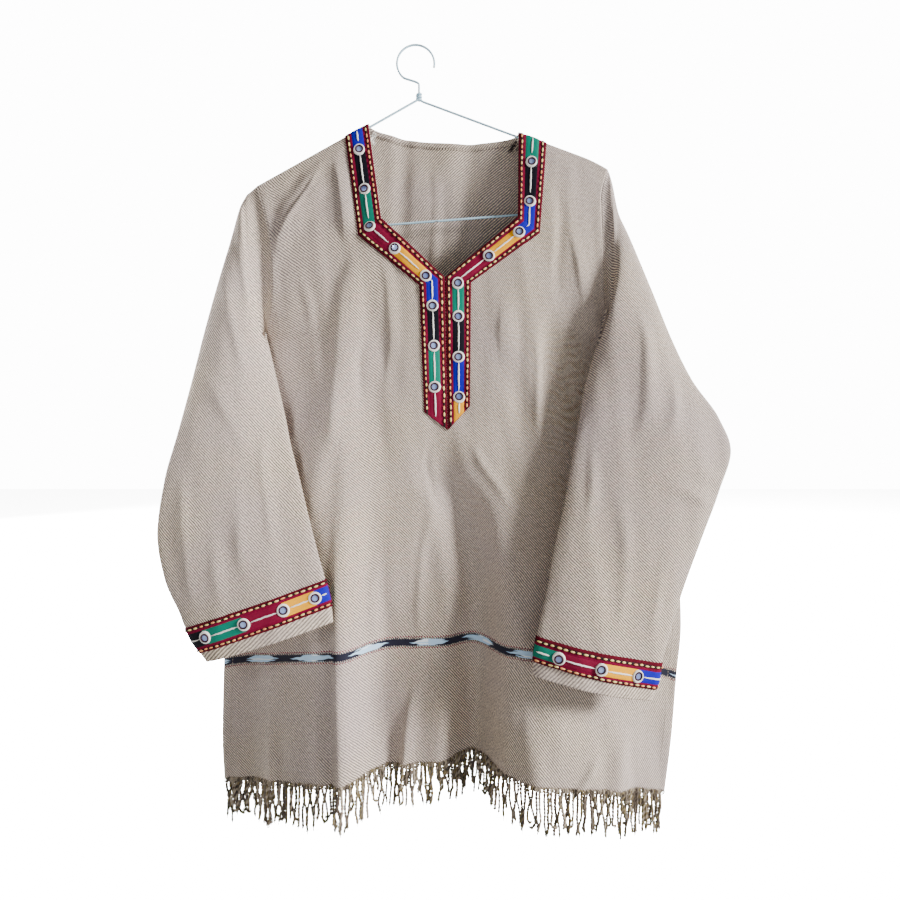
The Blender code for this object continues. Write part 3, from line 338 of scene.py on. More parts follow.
def makeThread(name, colour, roughness=0.75, sheen=0.05, spread=0.25):
    look = Look(name, {"Roughness": roughness, "Specular IOR Level": 0.15, "Sheen Weight": sheen})
    grain = look.add("Group", node_tree=groups["grain"])
    low, high = [tuple(min(1.0, part * share) for part in colour) for share in (1 - spread, 1 + spread)]
    return look.dress({"Base Color": look.blend(grain["Shade"], low, high),
                       "Normal": look.bump(grain["Grain"], 0.3, 0.0003)})


bodyTwill = makeTwill("bodyTwill", twillCloth["pitch"], striped=True)
sleeveTwill = makeTwill("sleeveTwill", twillCloth["pitch"])
hemTwill = makeTwill("hemTwill", twillCloth["hemPitch"], turned=True)
print("materials made")


# the body of the tunic: driving sizes

body = {
    "thick": 1.5, "creaseGain": 0.95, "seamGap": 0.3, "depth": 20.0, "depthFall": 150.0, "overWire": 2.3,
    "creaseLeft": 0.75, "creaseRight": 1.25, "lensPower": 2.5, "armholeSwell": 0.8, "edgeFade": 25.0, "fineFade": 10.0,
    "hemZ": -810.4, "hemMiddleX": 33.0, "hemDropLeft": 31.0, "hemDropRight": 46.0,
    "backNeckDip": 13.0,
    "neckLeftX": -53.6, "neckRightX": 117.75,
    "cornerLeft": (-37.4, -204.6), "cornerRight": (115.8, -202.7), "neckPoint": (33.6, -271.6),
    "underarmLeft": -336.0, "underarmRight": -330.0,
    "sideLeft": ((-161, -181), (-200, -170), (-233, -163.2), (-277, -161.2), (-300, -163.2), (-320, -166.6),
                 (-336, -171), (-440, -185.5), (-560, -201), (-707, -219.8), (-796, -221.5), (-841.6, -219.2)),
    "sideRight": ((-142, 220), (-178, 211.6), (-240, 212.2), (-275, 213.6), (-302, 215.6), (-330, 219),
                  (-480, 262), (-635, 304), (-664.5, 304.7), (-723, 299.5), (-793, 293.7), (-856.6, 285.7)),
}
hanger = {
    "wire": 1.4, "hookRadius": 21.5, "hookFrom": 225.0, "hookTo": -12.0, "apexX": 3.9, "apexZ": -62.4,
    "half": 197.0, "drop": 140.0, "armDeg": 24.8, "tiltDeg": 4.4, "clothRise": 3.9,
    "droopX": 190.0, "droop": 0.004, "seenWire": 1.25, "coat": (0.42, 0.62, 0.74), "bare": (0.22, 0.25, 0.27),
}

# broad folds, as in the solids. Each row: width on its left, width on its right, then points (z, x, how far out)
frontFolds = (
    (136, 50, (-230, -76, 0), (-366, -82, 7), (-600, -82, 24), (-816, -77, 36)),
    (26, 20, (-366, -86, 0), (-453, -98, 5), (-519, -111, 4), (-580, -118, 0)),
    (42, 34, (-442, 34, 0), (-487, 32, -5), (-526, 53, -11), (-636, 72, -21), (-810, 66, -30)),
    (70, 165, (-430, 62, 0), (-540, 115, 10), (-600, 121, 20), (-655, 121, 27), (-813, 134, 38)),
    (20, 14, (-118, -100, 0), (-135, -110, 3), (-190, -142, 4), (-240, -168, 0)),
    (18, 18, (-300, 134, 0), (-360, 134, 4), (-440, 136, 3), (-490, 138, 0)),
    (16, 18, (-690, 2, 0), (-750, -5, 1.8), (-816, -11, 2.4)),
    (18, 16, (-690, -158, 0), (-760, -157, 1.2), (-836, -156, 2)),
    (22, 16, (-770, 232, 0), (-810, 226, 6), (-850, 224, 7)),
)
backFolds = (
    (60, 90, (-180, -110, 0), (-320, -116, 5), (-560, -122, 13), (-830, -130, 22)),
    (46, 40, (-300, 6, 0), (-440, 2, -4), (-620, -6, -8), (-820, -12, -9)),
    (80, 60, (-200, 96, 0), (-360, 104, 6), (-600, 118, 15), (-830, 128, 24)),
    (40, 36, (-420, 200, 0), (-600, 216, 6), (-840, 232, 12)),
    (16, 16, (-104, -14, 2), (-180, -17, 3), (-290, -20, 0)),
    (20, 16, (-106, 64, 2), (-200, 60, 3), (-320, 56, 0)),
)

# small creases. Each row: width on its left, width on its right, then points (x, z, how far out)
frontCreases = (
    (5, 20, (-108, -142, 0), (-121, -168, 3.6), (-137, -192, 4.6), (-160, -229, 4.6), (-178, -264, 0)),
    (5, 14, (-93, -130, 0), (-87, -160, 3.0), (-82, -200, 3.8), (-79, -236, 0)),
    (22, 26, (-56, -232, 0), (-76, -280, 4.4), (-83, -343, 5.4), (-86, -430, 4.0), (-88, -520, 0)),
    (9, 24, (-84, -500, 0), (-83, -640, 5.0), (-80, -720, 6.0), (-77, -822, 6.6)),
    (12, 7, (-134, -260, 0), (-118, -300, 1.8), (-110, -350, 1.4), (-112, -400, 0)),
    (7, 12, (-40, -240, 0), (-30, -280, 1.5), (-26, -340, 1.9), (-34, -420, 0)),
    (9, 6, (-55, -330, 0), (-62, -372, -1.6), (-58, -430, 0)),
    (5, 9, (-140, -380, 0), (-133, -430, 1.9), (-140, -500, 1.2), (-150, -560, 0)),
    (10, 6, (136, -316, 0), (138, -372, 1.6), (137, -420, 2.0), (138, -476, 0)),
    (6, 12, (172, -200, 0), (182, -250, 1.9), (190, -300, 1.2), (192, -330, 0)),
    (12, 8, (160, -160, 0), (166, -200, -1.3), (160, -260, -1.6), (166, -330, 0)),
    (8, 13, (100, -280, 0), (96, -330, 1.7), (98, -390, 0)),
    (5, 12, (2, -712, 0), (-6, -750, 3.6), (-11, -780, 4.4), (-14, -818, 5.0)),
    (7, 10, (-162, -717, 0), (-160, -760, 0.9), (-159, -836, 1.2)),
    (5, 8, (-208, -716, 0), (-204, -770, 1.2), (-200, -832, 1.4)),
    (11, 7, (177, -827, 3.0), (192, -806, 2.4), (206, -786, 0)),
    (8, 9, (235, -809, 0), (236, -826, 2.6), (235, -850, 3.0)),
    (10, 7, (20, -520, 0), (8, -580, 1.8), (4, -640, 2.2), (10, -700, 0)),
    (8, 12, (-40, -560, 0), (-46, -620, 2.0), (-44, -700, 1.4), (-38, -760, 0)),
    (12, 9, (100, -700, 0), (104, -750, 2.2), (100, -815, 3.0)),
    (8, 11, (196, -420, 0), (204, -480, 2.0), (212, -560, 2.4), (216, -640, 0)),
    (11, 8, (246, -560, 0), (256, -640, 2.0), (262, -720, 1.5), (262, -780, 0)),
    (9, 7, (60, -450, 0), (74, -480, 2.2), (96, -510, 1.8), (112, -540, 0)),
    (6, 7, (18, -446, 0), (12, -480, -1.8), (22, -520, -1.4), (36, -540, 0)),
)
backCreases = (
    (12, 8, (-150, -190, 0), (-138, -250, 2.2), (-120, -330, 2.8), (-112, -400, 0)),
    (8, 13, (170, -180, 0), (160, -240, 2.4), (148, -320, 2.0), (150, -390, 0)),
    (9, 9, (20, -118, 0), (24, -170, -1.6), (20, -260, -2.0), (26, -330, 0)),
    (7, 12, (-60, -260, 0), (-54, -340, 2.2), (-60, -430, 2.6), (-52, -520, 0)),
    (12, 7, (70, -330, 0), (66, -420, 2.0), (74, -500, 2.6), (70, -600, 0)),
    (9, 14, (-170, -400, 0), (-166, -480, 2.6), (-176, -580, 2.0), (-180, -660, 0)),
    (10, 8, (180, -420, 0), (190, -520, 2.4), (188, -640, 3.0), (196, -720, 0)),
    (8, 11, (-80, -600, 0), (-86, -680, 2.8), (-80, -760, 2.2), (-84, -822, 3.0)),
    (12, 8, (40, -620, 0), (46, -700, 2.4), (40, -816, 3.4)),
    (8, 10, (250, -640, 0), (256, -720, 2.4), (252, -846, 3.0)),
    (9, 7, (-196, -700, 0), (-192, -770, 2.2), (-190, -832, 2.8)),
)


def sideX(rows, z):
    return smoothRows([-row[0] for row in rows], [row[1] for row in rows], -np.asarray(z, float))


def shoulderZ(x):
    x = np.asarray(x, float)
    angle = np.radians(hanger["armDeg"] + np.where(x < hanger["apexX"], hanger["tiltDeg"], -hanger["tiltDeg"]))
    top = hanger["apexZ"] - np.abs(x - hanger["apexX"]) * np.tan(angle) + hanger["clothRise"] / np.cos(angle)
    return top - hanger["droop"] * np.maximum(0.0, x - hanger["droopX"]) ** 2


def backNeckZ(x):
    left, right = body["neckLeftX"], body["neckRightX"]
    share = np.clip((x - left) / (right - left), 0.0, 1.0)
    chord = mix(shoulderZ(left), shoulderZ(right), share)
    return chord - body["backNeckDip"] * np.sqrt(np.maximum(0.0, np.sin(math.pi * share)))


def hemZ(x):
    x = np.asarray(x, float)
    middle = body["hemMiddleX"]
    reach = np.where(x < middle, middle - body["sideLeft"][-1][1], body["sideRight"][-1][1] - middle)
    drop = np.where(x < middle, body["hemDropLeft"], body["hemDropRight"])
    return body["hemZ"] - drop * ((x - middle) / reach) ** 2


def foldHeight(folds, x, z):
    total = np.zeros(np.broadcast(x, z).shape)
    for left, right, *path in folds:
        ups, places, heights = np.array(path).T
        middle, height = smoothRows(-ups, places, -z), smoothRows(-ups, heights, -z)
        across = np.abs(x - middle) / np.where(x < middle, left, right)
        total += np.where(across < 1.0, height * np.cos(np.minimum(across, 1.0) * math.pi / 2) ** 2, 0.0)
    return total


def creaseHeight(creases, x, z):
    x, z = np.broadcast_arrays(np.asarray(x, float), np.asarray(z, float))
    total = np.zeros(x.shape)
    for left, right, *line in creases:
        nearest = np.full(x.shape, 1e9)
        height = np.zeros(x.shape)
        side = np.zeros(x.shape)
        for (ax, az, ah), (bx, bz, bh) in zip(line, line[1:]):
            dx, dz = bx - ax, bz - az
            t = np.clip(((x - ax) * dx + (z - az) * dz) / (dx * dx + dz * dz), 0.0, 1.0)
            away = np.hypot(x - ax - t * dx, z - az - t * dz)
            closer = away < nearest
            nearest = np.where(closer, away, nearest)
            height = np.where(closer, ah + (bh - ah) * ease(t), height)
            side = np.where(closer, (x - ax) * dz - (z - az) * dx, side)
        onLeft = side > 0 if line[-1][1] < line[0][1] else side < 0
        across = nearest / np.where(onLeft, left * body["creaseLeft"], right * body["creaseRight"])
        total += np.where(across < 1.0, height * np.cos(np.minimum(across, 1.0) * math.pi / 2) ** 2, 0.0)
    return total


def unevenness(x, z, seed, size=1.0):  # the slight waviness that no cloth is without
    dice = random.Random(seed)
    total = np.zeros(np.broadcast(x, z).shape)
    for wave, height in ((150, 0.9), (97, 0.7), (61, 0.55), (43, 0.35), (29, 0.25), (19, 0.14)):
        turn = dice.uniform(-0.9, 0.9)
        bend = dice.uniform(0, 6.28)
        along = x * math.cos(turn) + z * math.sin(turn) * 0.45
        total += height * np.sin(2 * math.pi * along / wave + bend + 1.3 * np.sin(z / (wave * 1.7) + bend))
    return total * size


def armholeShare(z, rows, underarm):
    share = np.clip((rows[0][0] - z) / (rows[0][0] - underarm), 0.0, 1.0)
    return body["armholeSwell"] * np.sin(math.pi * share) ** 0.6 * ((share > 0) & (share < 1))


def bodyDepth(x, z, folds, creases, seed):  # how far a panel's outer face stands from the seams' plane
    x, z = np.broadcast_arrays(np.asarray(x, float), np.asarray(z, float))
    left, right = sideX(body["sideLeft"], z), sideX(body["sideRight"], z)
    across = np.clip((x - left) / (right - left), 0.0, 1.0)
    onLeft = across < 0.5
    edge = np.where(onLeft, armholeShare(z, body["sideLeft"], body["underarmLeft"]),
                    armholeShare(z, body["sideRight"], body["underarmRight"]))
    above = ease((z - np.where(onLeft, body["underarmLeft"], body["underarmRight"])) / 60)
    edgeDistance = np.where(onLeft, x - left, right - x)
    lens = 1.0 - np.abs(2.0 * across - 1.0) ** body["lensPower"]
    roundness = edge + (1.0 - edge) * lens
    below = np.maximum(0.0, shoulderZ(x) - z)
    wireShare = above + (1.0 - above) * np.clip(edgeDistance / 12, 0.0, 1.0)
    depth = body["seamGap"] / 2 + body["thick"] + body["overWire"] * np.minimum(1.0, below / 2) * wireShare
    depth = depth + body["depth"] * (1.0 - np.exp(-below / body["depthFall"])) * roundness
    fade = ease(edgeDistance / body["edgeFade"]) * ease((below - 4) / 30)
    fine = ease(edgeDistance / body["fineFade"]) * ease((below - 3) / 18)
    small = body["creaseGain"] * creaseHeight(creases, x, z) + unevenness(x, z, seed)
    return depth + foldHeight(folds, x, z) * fade + small * fine


def frontY(x, z):
    return -bodyDepth(x, z, frontFolds, frontCreases, 4)


def backY(x, z):
    return bodyDepth(x, z, backFolds, backCreases, 9)


# front panel: two yokes beside the neck over a lower part that starts along the neckline

frontGrid = {"zones": ((0.346, 65), (0.531, 39), (0.746, 43), (1.0, 53)), "lowerRows": 190, "yokeRows": 40}
backGrid = {"columns": 150, "rows": 250, "neckFrom": 0.32, "neckTo": 0.74}


def makeFront():
    shares, corners, start = [0.0], [0], 0.0
    for end, columns in frontGrid["zones"]:
        shares += [mix(start, end, (step + 1) / columns) for step in range(columns)]
        corners.append(len(shares) - 1)
        start = end
    shares = np.array(shares)
    last, (leftCorner, point, rightCorner) = len(shares) - 1, corners[1:4]
    column = np.arange(last + 1)
    cornerLeft, neckPoint, cornerRight = (np.array(body[k]) for k in ("cornerLeft", "neckPoint", "cornerRight"))
    topX = np.interp(column, [0, leftCorner, point, rightCorner, last],
                     [sideX(body["sideLeft"], cornerLeft[1]), cornerLeft[0], neckPoint[0], cornerRight[0],
                      sideX(body["sideRight"], cornerRight[1])])
    topZ = np.interp(column, [0, leftCorner, point, rightCorner, last],
                     [cornerLeft[1], cornerLeft[1], neckPoint[1], cornerRight[1], cornerRight[1]])
    down = (np.arange(frontGrid["lowerRows"] + 1) / frontGrid["lowerRows"])[:, None]
    shift = topX - mix(sideX(body["sideLeft"], topZ), sideX(body["sideRight"], topZ), shares)
    hemX = mix(body["sideLeft"][-1][1], body["sideRight"][-1][1], shares)
    z = mix(topZ, hemZ(hemX), down)
    x = mix(sideX(body["sideLeft"], z), sideX(body["sideRight"], z), shares) + shift * (1 - down) ** 2
    lower = np.stack([x, frontY(x, z), z], axis=-1)
    yokes = []
    for first, end, rows, startX, endX in (
            (0, leftCorner, body["sideLeft"], body["sideLeft"][0][1], body["neckLeftX"]),
            (rightCorner, last, body["sideRight"], body["neckRightX"], body["sideRight"][0][1])):
        along = (np.arange(first, end + 1) - first) / (end - first)
        shoulderX = mix(startX, endX, along)
        startZ = shoulderZ(shoulderX)
        count = frontGrid["yokeRows"]
        share = np.concatenate([[0.0, 0.006, 0.014, 0.026], np.linspace(0.045, 1, count)[:-1]])[:, None]
        depth = share * (startZ - topZ[first:end + 1])
        z = startZ - depth
        seam = sideX(rows, z)
        straight = mix(rows[0][1], sideX(rows, topZ[first]), share)
        edgeShare = 1 - along if first == 0 else along
        x = mix(shoulderX, topX[first:end + 1], share) + (seam - straight) * edgeShare
        yokes.append(np.stack([x, frontY(x, z), z], axis=-1))
    up = alongLength(lower[::-1], 0)[::-1]                    # length of cloth above the hem
    sideways = alongLength(lower, 1) - alongLength(lower, 1)[:, point:point + 1]
    points, maps = [lower.reshape(-1, 3)], [np.stack([sideways, up], -1).reshape(-1, 2)]
    faces = gridFaces(*lower.shape[:2], flip=True)
    for grid, first, end in ((yokes[0], 0, leftCorner), (yokes[1], rightCorner, last)):
        whole = np.concatenate([grid, lower[:1, first:end + 1]])
        climb = (alongLength(whole[::-1], 0)[::-1] + up[0, first:end + 1])[:-1]
        reach = alongLength(grid, 1)
        reach = reach + sideways[0, first] if first else reach - reach[:, -1:] + sideways[0, leftCorner]
        base = sum(len(p) for p in points)
        rows, columns = grid.shape[:2]
        faces += [tuple(i + base for i in face) for face in gridFaces(rows, columns, flip=True)]
        for step in range(columns - 1):
            a, b = base + (rows - 1) * columns + step, first + step
            faces.append((b, b + 1, a + 1, a))
        points.append(grid.reshape(-1, 3))
        maps.append(np.stack([reach, climb], -1).reshape(-1, 2))
    obj = meshPiece("bodyFront", np.concatenate(points), faces, [bodyTwill], maps=np.concatenate(maps))
    thicken(obj, body["thick"])
    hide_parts("front_panel")
    return obj, lower[-1]


def makeBack():
    count, columns = backGrid["rows"], backGrid["columns"]
    neckLeft, neckRight = round(columns * backGrid["neckFrom"]), round(columns * backGrid["neckTo"])
    shares = np.arange(columns + 1) / columns
    topX = np.interp(np.arange(columns + 1), [0, neckLeft, neckRight, columns],
                     [body["sideLeft"][0][1], body["neckLeftX"], body["neckRightX"], body["sideRight"][0][1]])
    between = (np.arange(columns + 1) > neckLeft) & (np.arange(columns + 1) < neckRight)
    topZ = np.where(between, backNeckZ(topX), shoulderZ(topX))
    down = np.concatenate([[0.0, 0.001, 0.0025, 0.0045], np.linspace(0.0075, 1, count)])[:, None]
    hemX = mix(body["sideLeft"][-1][1], body["sideRight"][-1][1], shares)
    z = mix(topZ, hemZ(hemX), down)
    shift = topX - mix(sideX(body["sideLeft"], topZ), sideX(body["sideRight"], topZ), shares)
    x = mix(sideX(body["sideLeft"], z), sideX(body["sideRight"], z), shares) + shift * (1 - down) ** 4
    grid = np.stack([x, backY(x, z), z], axis=-1)
    up = alongLength(grid[::-1], 0)[::-1]
    sideways = alongLength(grid, 1) - alongLength(grid, 1)[:, columns // 2:columns // 2 + 1]
    maps = np.stack([-sideways, up], -1).reshape(-1, 2)
    obj = meshPiece("bodyBack", grid.reshape(-1, 3), gridFaces(*grid.shape[:2]), [bodyTwill], maps=maps)
    thicken(obj, body["thick"])
    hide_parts("back_panel")
    return obj, grid[-1], grid[:, neckLeft:neckRight + 1]


bodyFront, frontHem = makeFront()
bodyBack, backHem, backNeckStrip = makeBack()
print("body made")


# sleeves: rows are outer fold (x, z, y), inner fold (x, z, y)

sleeve = {
    "halfThick": 11.0, "flatWidth": 150.0, "fullness": 0.15, "layerGap": 5.0, "clear": 2.5, "cuffClear": 6.5,
    "cuffClearZ": -580.0, "armholeGap": 0.1, "halfSteps": 60, "ringsPerRow": 10,
    "dipLeft": 6.0, "dipRight": 1.4, "leadRings": 8, "creaseGain": 0.75,
    "outerForward": 1.2, "innerForward": 0.95,      # both sleeves turn a little to their own outer side
}
sleeveLeftRows = (
    ((-194, -171, 0), (-174.2, -333.5, -3)), ((-202, -186, 0), (-173.6, -335.5, -8)),
    ((-210.8, -224.4, -4), (-164, -349.7, -15)), ((-221.9, -272, -10), (-158, -364.5, -22)),
    ((-235.1, -329.9, -16), (-149.7, -392.9, -28)), ((-247.2, -392.4, -24), (-140.1, -426.3, -34)),
    ((-258.6, -444.7, -30), (-131.9, -459, -40)), ((-270.8, -499.1, -36), (-121.9, -491.1, -46)),
    ((-275.3, -550.4, -42), (-113.1, -520.6, -52)), ((-265.6, -601, -46), (-104.4, -550.6, -57)),
    ((-247.7, -637.8, -49), (-93.8, -586.3, -61)), ((-241.3, -652.7, -50), (-89.8, -598.4, -63)),
    ((-225.4, -679.3, -50), (-83, -625.9, -64)), ((-218.5, -688.9, -50), (-81.4, -642, -64)),
)
sleeveRightRows = (
    ((222.6, -146, 0), (221.8, -326, -3)), ((226.5, -160, 0), (221.5, -330, -9)),
    ((231.9, -191.9, -3), (217, -336, -15)), ((243, -221, -7), (203, -350, -24)),
    ((267.7, -287.8, -14), (187.1, -393.6, -34)), ((286.9, -341.9, -20), (181, -420, -39)),
    ((307, -387, -25), (175.8, -445.1, -44)), ((334.4, -429.3, -30), (171, -465, -48)),
    ((346, -464.4, -33), (166.8, -485.6, -52)), ((331.4, -510, -36), (158.9, -523.7, -57)),
    ((310.1, -562.5, -40), (147, -570, -63)), ((286.3, -623.2, -44), (139, -610, -68)),
    ((265.1, -690, -48), (128, -653.5, -73)), ((258.7, -718.4, -48), (124.4, -679.1, -73)),
    ((253.9, -730.6, -48), (123.4, -693.4, -73)),
)
sleeveCreases = {
    "left": (
        (14, 4, (-199, -184, 3), (-193, -238, 4.5), (-184, -284, 4.0), (-173, -330, 1)),
        (9, 7, (-188, -200, 0), (-180, -238, -5), (-174, -276, -4.5), (-172, -312, 0)),
        (12, 8, (-215, -260, 0), (-205, -300, 2.4), (-190, -350, 3.0), (-178, -392, 0)),
        (8, 12, (-236, -380, 0), (-214, -400, 2.6), (-190, -440, 2.0), (-178, -478, 0)),
        (10, 6, (-182, -498, 0), (-178, -560, 3.0), (-172, -612, 0)),
        (9, 12, (-206, -540, 0), (-204, -590, 2.2), (-190, -640, 0)),
        (6, 9, (-158, -430, 0), (-160, -480, 2.4), (-150, -540, 2.0), (-142, -580, 0)),
        (10, 8, (-246, -480, 0), (-240, -540, 2.4), (-232, -600, 1.8), (-222, -640, 0)),
    ),
    "right": (
        (12, 6, (222, -170, 0), (223, -220, 3.0), (219, -262, 3.2), (210, -322, 0)),
        (7, 12, (256, -494, 0), (296, -515, 3.5), (340, -534, 0)),
        (8, 6, (300, -486, 0), (318, -494, 2.6), (340, -500, 0)),
        (10, 12, (246, -300, 0), (252, -350, 3.2), (248, -420, 2.6), (232, -470, 0)),
        (12, 8, (282, -370, 0), (280, -420, 2.6), (264, -470, 0)),
        (9, 11, (214, -500, 0), (220, -560, 3.0), (216, -620, 2.0), (206, -660, 0)),
        (10, 8, (262, -560, 0), (256, -610, 2.4), (244, -670, 0)),
        (7, 9, (190, -440, 0), (188, -500, 2.6), (178, -560, 0)),
    ),
}
hiddenSleeveCreases = {
    "left": (
        (12, 9, (-225, -300, 0), (-210, -370, 3), (-200, -450, 0)),
        (9, 12, (-170, -430, 0), (-186, -500, 3), (-180, -580, 0)),
        (12, 8, (-236, -470, 0), (-230, -560, 2.6), (-214, -630, 0)),
    ),
    "right": (
        (12, 9, (262, -290, 0), (250, -360, 3), (240, -440, 0)),
        (9, 12, (290, -480, 0), (250, -520, 3), (210, -540, 0)),
        (12, 8, (236, -560, 0), (226, -620, 2.6), (206, -670, 0)),
    ),
}


def bodyLimit(x, z, onLeft):  # how far back a sleeve may reach, so that it lies clear in front of the body
    clear = mix(sleeve["clear"], sleeve["cuffClear"], ease((sleeve["cuffClearZ"] + 40 - z) / 40))
    rows = body["sideLeft"] if onLeft else body["sideRight"]
    underarm = body["underarmLeft"] if onLeft else body["underarmRight"]
    edge = sideX(rows, z)
    outside = edge - x if onLeft else x - edge
    beyond = frontY(edge, z) - clear + 0.9 * outside + 0.7 * np.maximum(0.0, z - underarm - 20)
    return np.where(outside > 0, beyond, frontY(x, z) - clear)


def sleeveGrid(side, rows):
    onLeft = side == "left"
    steps = sleeve["halfSteps"]
    share = (1 - np.cos(math.pi * np.arange(steps + 1) / steps)) / 2
    table = np.array([outer + inner for outer, inner in rows], float)
    for first, forward in ((0, sleeve["outerForward"]), (3, sleeve["innerForward"])):
        moved = table[:, first + 2] * forward
        nearer = (moved - camera["y"]) / (table[:, first + 2] - camera["y"])    # on its own line of sight still
        table[:, first] = mix(camera["x"], table[:, first], nearer)
        table[:, first + 1] = mix(camera["z"], table[:, first + 1], nearer)
        table[:, first + 2] = moved
    keys = np.arange(len(rows), dtype=float)
    fine = np.linspace(0, len(rows) - 1, (len(rows) - 1) * sleeve["ringsPerRow"] + 1)
    smooth = np.stack([smoothRows(keys, table[:, i], fine) for i in range(6)], axis=-1)
    rings = []
    for row, (ox, oz, oy, ix, iz, iy) in zip(fine, smooth):
        half = sleeve["halfThick"] + sleeve["fullness"] * max(0.0, sleeve["flatWidth"] - math.hypot(ix - ox, iz - oz))
        x, z, middle = mix(ox, ix, share), mix(oz, iz, share), mix(oy, iy, share)
        limit = bodyLimit(x, z, onLeft)
        swell = half * np.sin(math.pi * share) ** 0.55
        fade = ease(np.sin(math.pi * share) * 3.5) * min(1.0, row / 0.6)
        behind = np.minimum(middle + swell, limit)
        inset = (creaseHeight(hiddenSleeveCreases[side], x, z) + unevenness(x, z, 21, 0.7)) * fade
        behind = behind - np.maximum(0.0, inset)
        ahead = np.minimum(middle - swell, behind - np.minimum(sleeve["layerGap"], 2 * swell))
        small = sleeve["creaseGain"] * creaseHeight(sleeveCreases[side], x, z)
        ahead = ahead - (small + unevenness(x, z, 33 if onLeft else 37, 0.8)) * fade
        for end in (0, -1):
            ahead[end] = min(middle[end], limit[end])
        front = np.stack([x, ahead, z], axis=-1)
        back = np.stack([x, behind, z], axis=-1)[1:-1][::-1]
        rings.append(np.concatenate([front, back]))
    seamRows = body["sideLeft"] if onLeft else body["sideRight"]
    z = mix(seamRows[0][0], body["underarmLeft"] if onLeft else body["underarmRight"], share)
    x = sideX(seamRows, z)
    away = -sleeve["armholeGap"] if onLeft else sleeve["armholeGap"]
    yFront, yBack = frontY(x, z), backY(x, z)
    yFront[[0, -1]] = 0.0
    first = np.concatenate([np.stack([x + away, yFront, z], -1), np.stack([x + away, yBack, z], -1)[1:-1][::-1]])
    lead = []
    dip = np.concatenate([np.sin(math.pi * share), np.zeros(steps - 1)]) ** 0.5 * sleeve["dip" + side.capitalize()]
    for t in np.arange(sleeve["leadRings"]) / sleeve["leadRings"]:   # the cloth sinks from the seam to the first fold
        ring = mix(first, rings[0], t)
        ring[:, 1] += dip * math.sin(math.pi * t)
        lead.append(ring)
    return np.array(lead + rings)


def gridNormals(grid, wrap):
    around = np.roll(grid, -1, 1) - np.roll(grid, 1, 1) if wrap else np.gradient(grid, axis=1)
    return unit(np.cross(around, np.gradient(grid, axis=0)))


def makeSleeve(side, rows):
    grid = sleeveGrid(side, rows)
    steps = sleeve["halfSteps"]
    count, around = grid.shape[:2]
    order = list(range(steps, -1, -1)) + list(range(around - 1, steps - 1, -1))   # inner fold, front, outer fold, back
    ring = grid[:, order][:, :, :2]
    reach = alongLength(ring, 1) * (1 if side == "right" else -1)
    halves = []                      # each half is mapped from the x of its own middle, so the weave is not sheared
    for start, sign in ((0, 1), (steps, -1)):
        half, middle = reach[:, start:start + steps + 1], start + steps // 2
        halves.append(half - reach[:, middle:middle + 1] + sign * ring[:, middle:middle + 1, 0])
    faces, loopMaps = [], []
    for r in range(count - 1):
        for c in range(around):
            d = (c + 1) % around
            corners = ((r, c), (r, d), (r + 1, d), (r + 1, c))
            if side == "left":
                corners = corners[::-1]
            faces.append(tuple(row * around + column for row, column in corners))
            for row, column in corners:
                place = steps - column if c < steps else (around - column) % around
                loopMaps.append((halves[c >= steps][row, place], grid[row, column, 2]))
    name = "sleeve" + side.capitalize()
    obj = meshPiece(name, grid.reshape(-1, 3), faces, [sleeveTwill, hemTwill], loopMaps=loopMaps)
    hemFrom = (count - 1 - sleeve["ringsPerRow"]) * around
    obj.data.polygons.foreach_set("material_index", [int(i >= hemFrom) for i in range(len(faces))])
    thicken(obj, body["thick"])
    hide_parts("sleeve_" + side)
    normals = gridNormals(grid, True)
    middle = grid.mean(axis=1, keepdims=True)
    if ((grid - middle) * normals).sum() < 0:
        normals = -normals
    return obj, grid, normals


sleeveLeft, leftGrid, leftNormals = makeSleeve("left", sleeveLeftRows)
sleeveRight, rightGrid, rightNormals = makeSleeve("right", sleeveRightRows)
print("sleeves made")


# threads, tubes and strips that the trims are made of

def pathFrames(path):  # two directions across a path, carried along it without a twist
    path = np.asarray(path, float)
    tangent = unit(np.gradient(path, axis=0))
    side = np.empty_like(path)
    first = np.cross(tangent[0], (0.0, 1.0, 0.0))
    side[0] = unit(first if np.linalg.norm(first) > 0.1 else np.cross(tangent[0], (1.0, 0.0, 0.0)))
    for i in range(1, len(path)):
        carried = side[i - 1] - tangent[i] * np.dot(side[i - 1], tangent[i])
        side[i] = unit(carried)
    return side, np.cross(tangent, side)


def addTube(heap, path, radius, sides, kind, tone, capped=True):
    path = np.asarray(path, float)
    side, up = pathFrames(path)
    radius = np.broadcast_to(np.asarray(radius, float), (len(path),))[:, None, None]
    turn = 2 * math.pi * np.arange(sides) / sides
    ring = np.cos(turn)[None, :, None] * side[:, None] + np.sin(turn)[None, :, None] * up[:, None]
    points = path[:, None] + ring * radius
    along = alongLength(path)[:, None].repeat(sides, 1)
    around = np.broadcast_to(turn, along.shape)
    faces = gridFaces(len(path), sides, wrap=True, flip=True) + (endFaces(len(path), sides) if capped else [])
    heap.add(points, faces, kind, np.stack([around, along], -1), tone)


def addYarn(heap, path, radius, pitch, kinds, tones, start=0.0, sides=5):  # two plies twisted round each other
    path = np.asarray(path, float)
    side, up = pathFrames(path)
    turn = start + 2 * math.pi * alongLength(path) / pitch
    radius = np.broadcast_to(np.asarray(radius, float), (len(path),))
    for ply, kind, tone in zip((0.0, math.pi), kinds, tones):
        offset = side * np.cos(turn + ply)[:, None] + up * np.sin(turn + ply)[:, None]
        addTube(heap, path + offset * radius[:, None] * 0.52, radius * 0.62, sides, kind, tone)


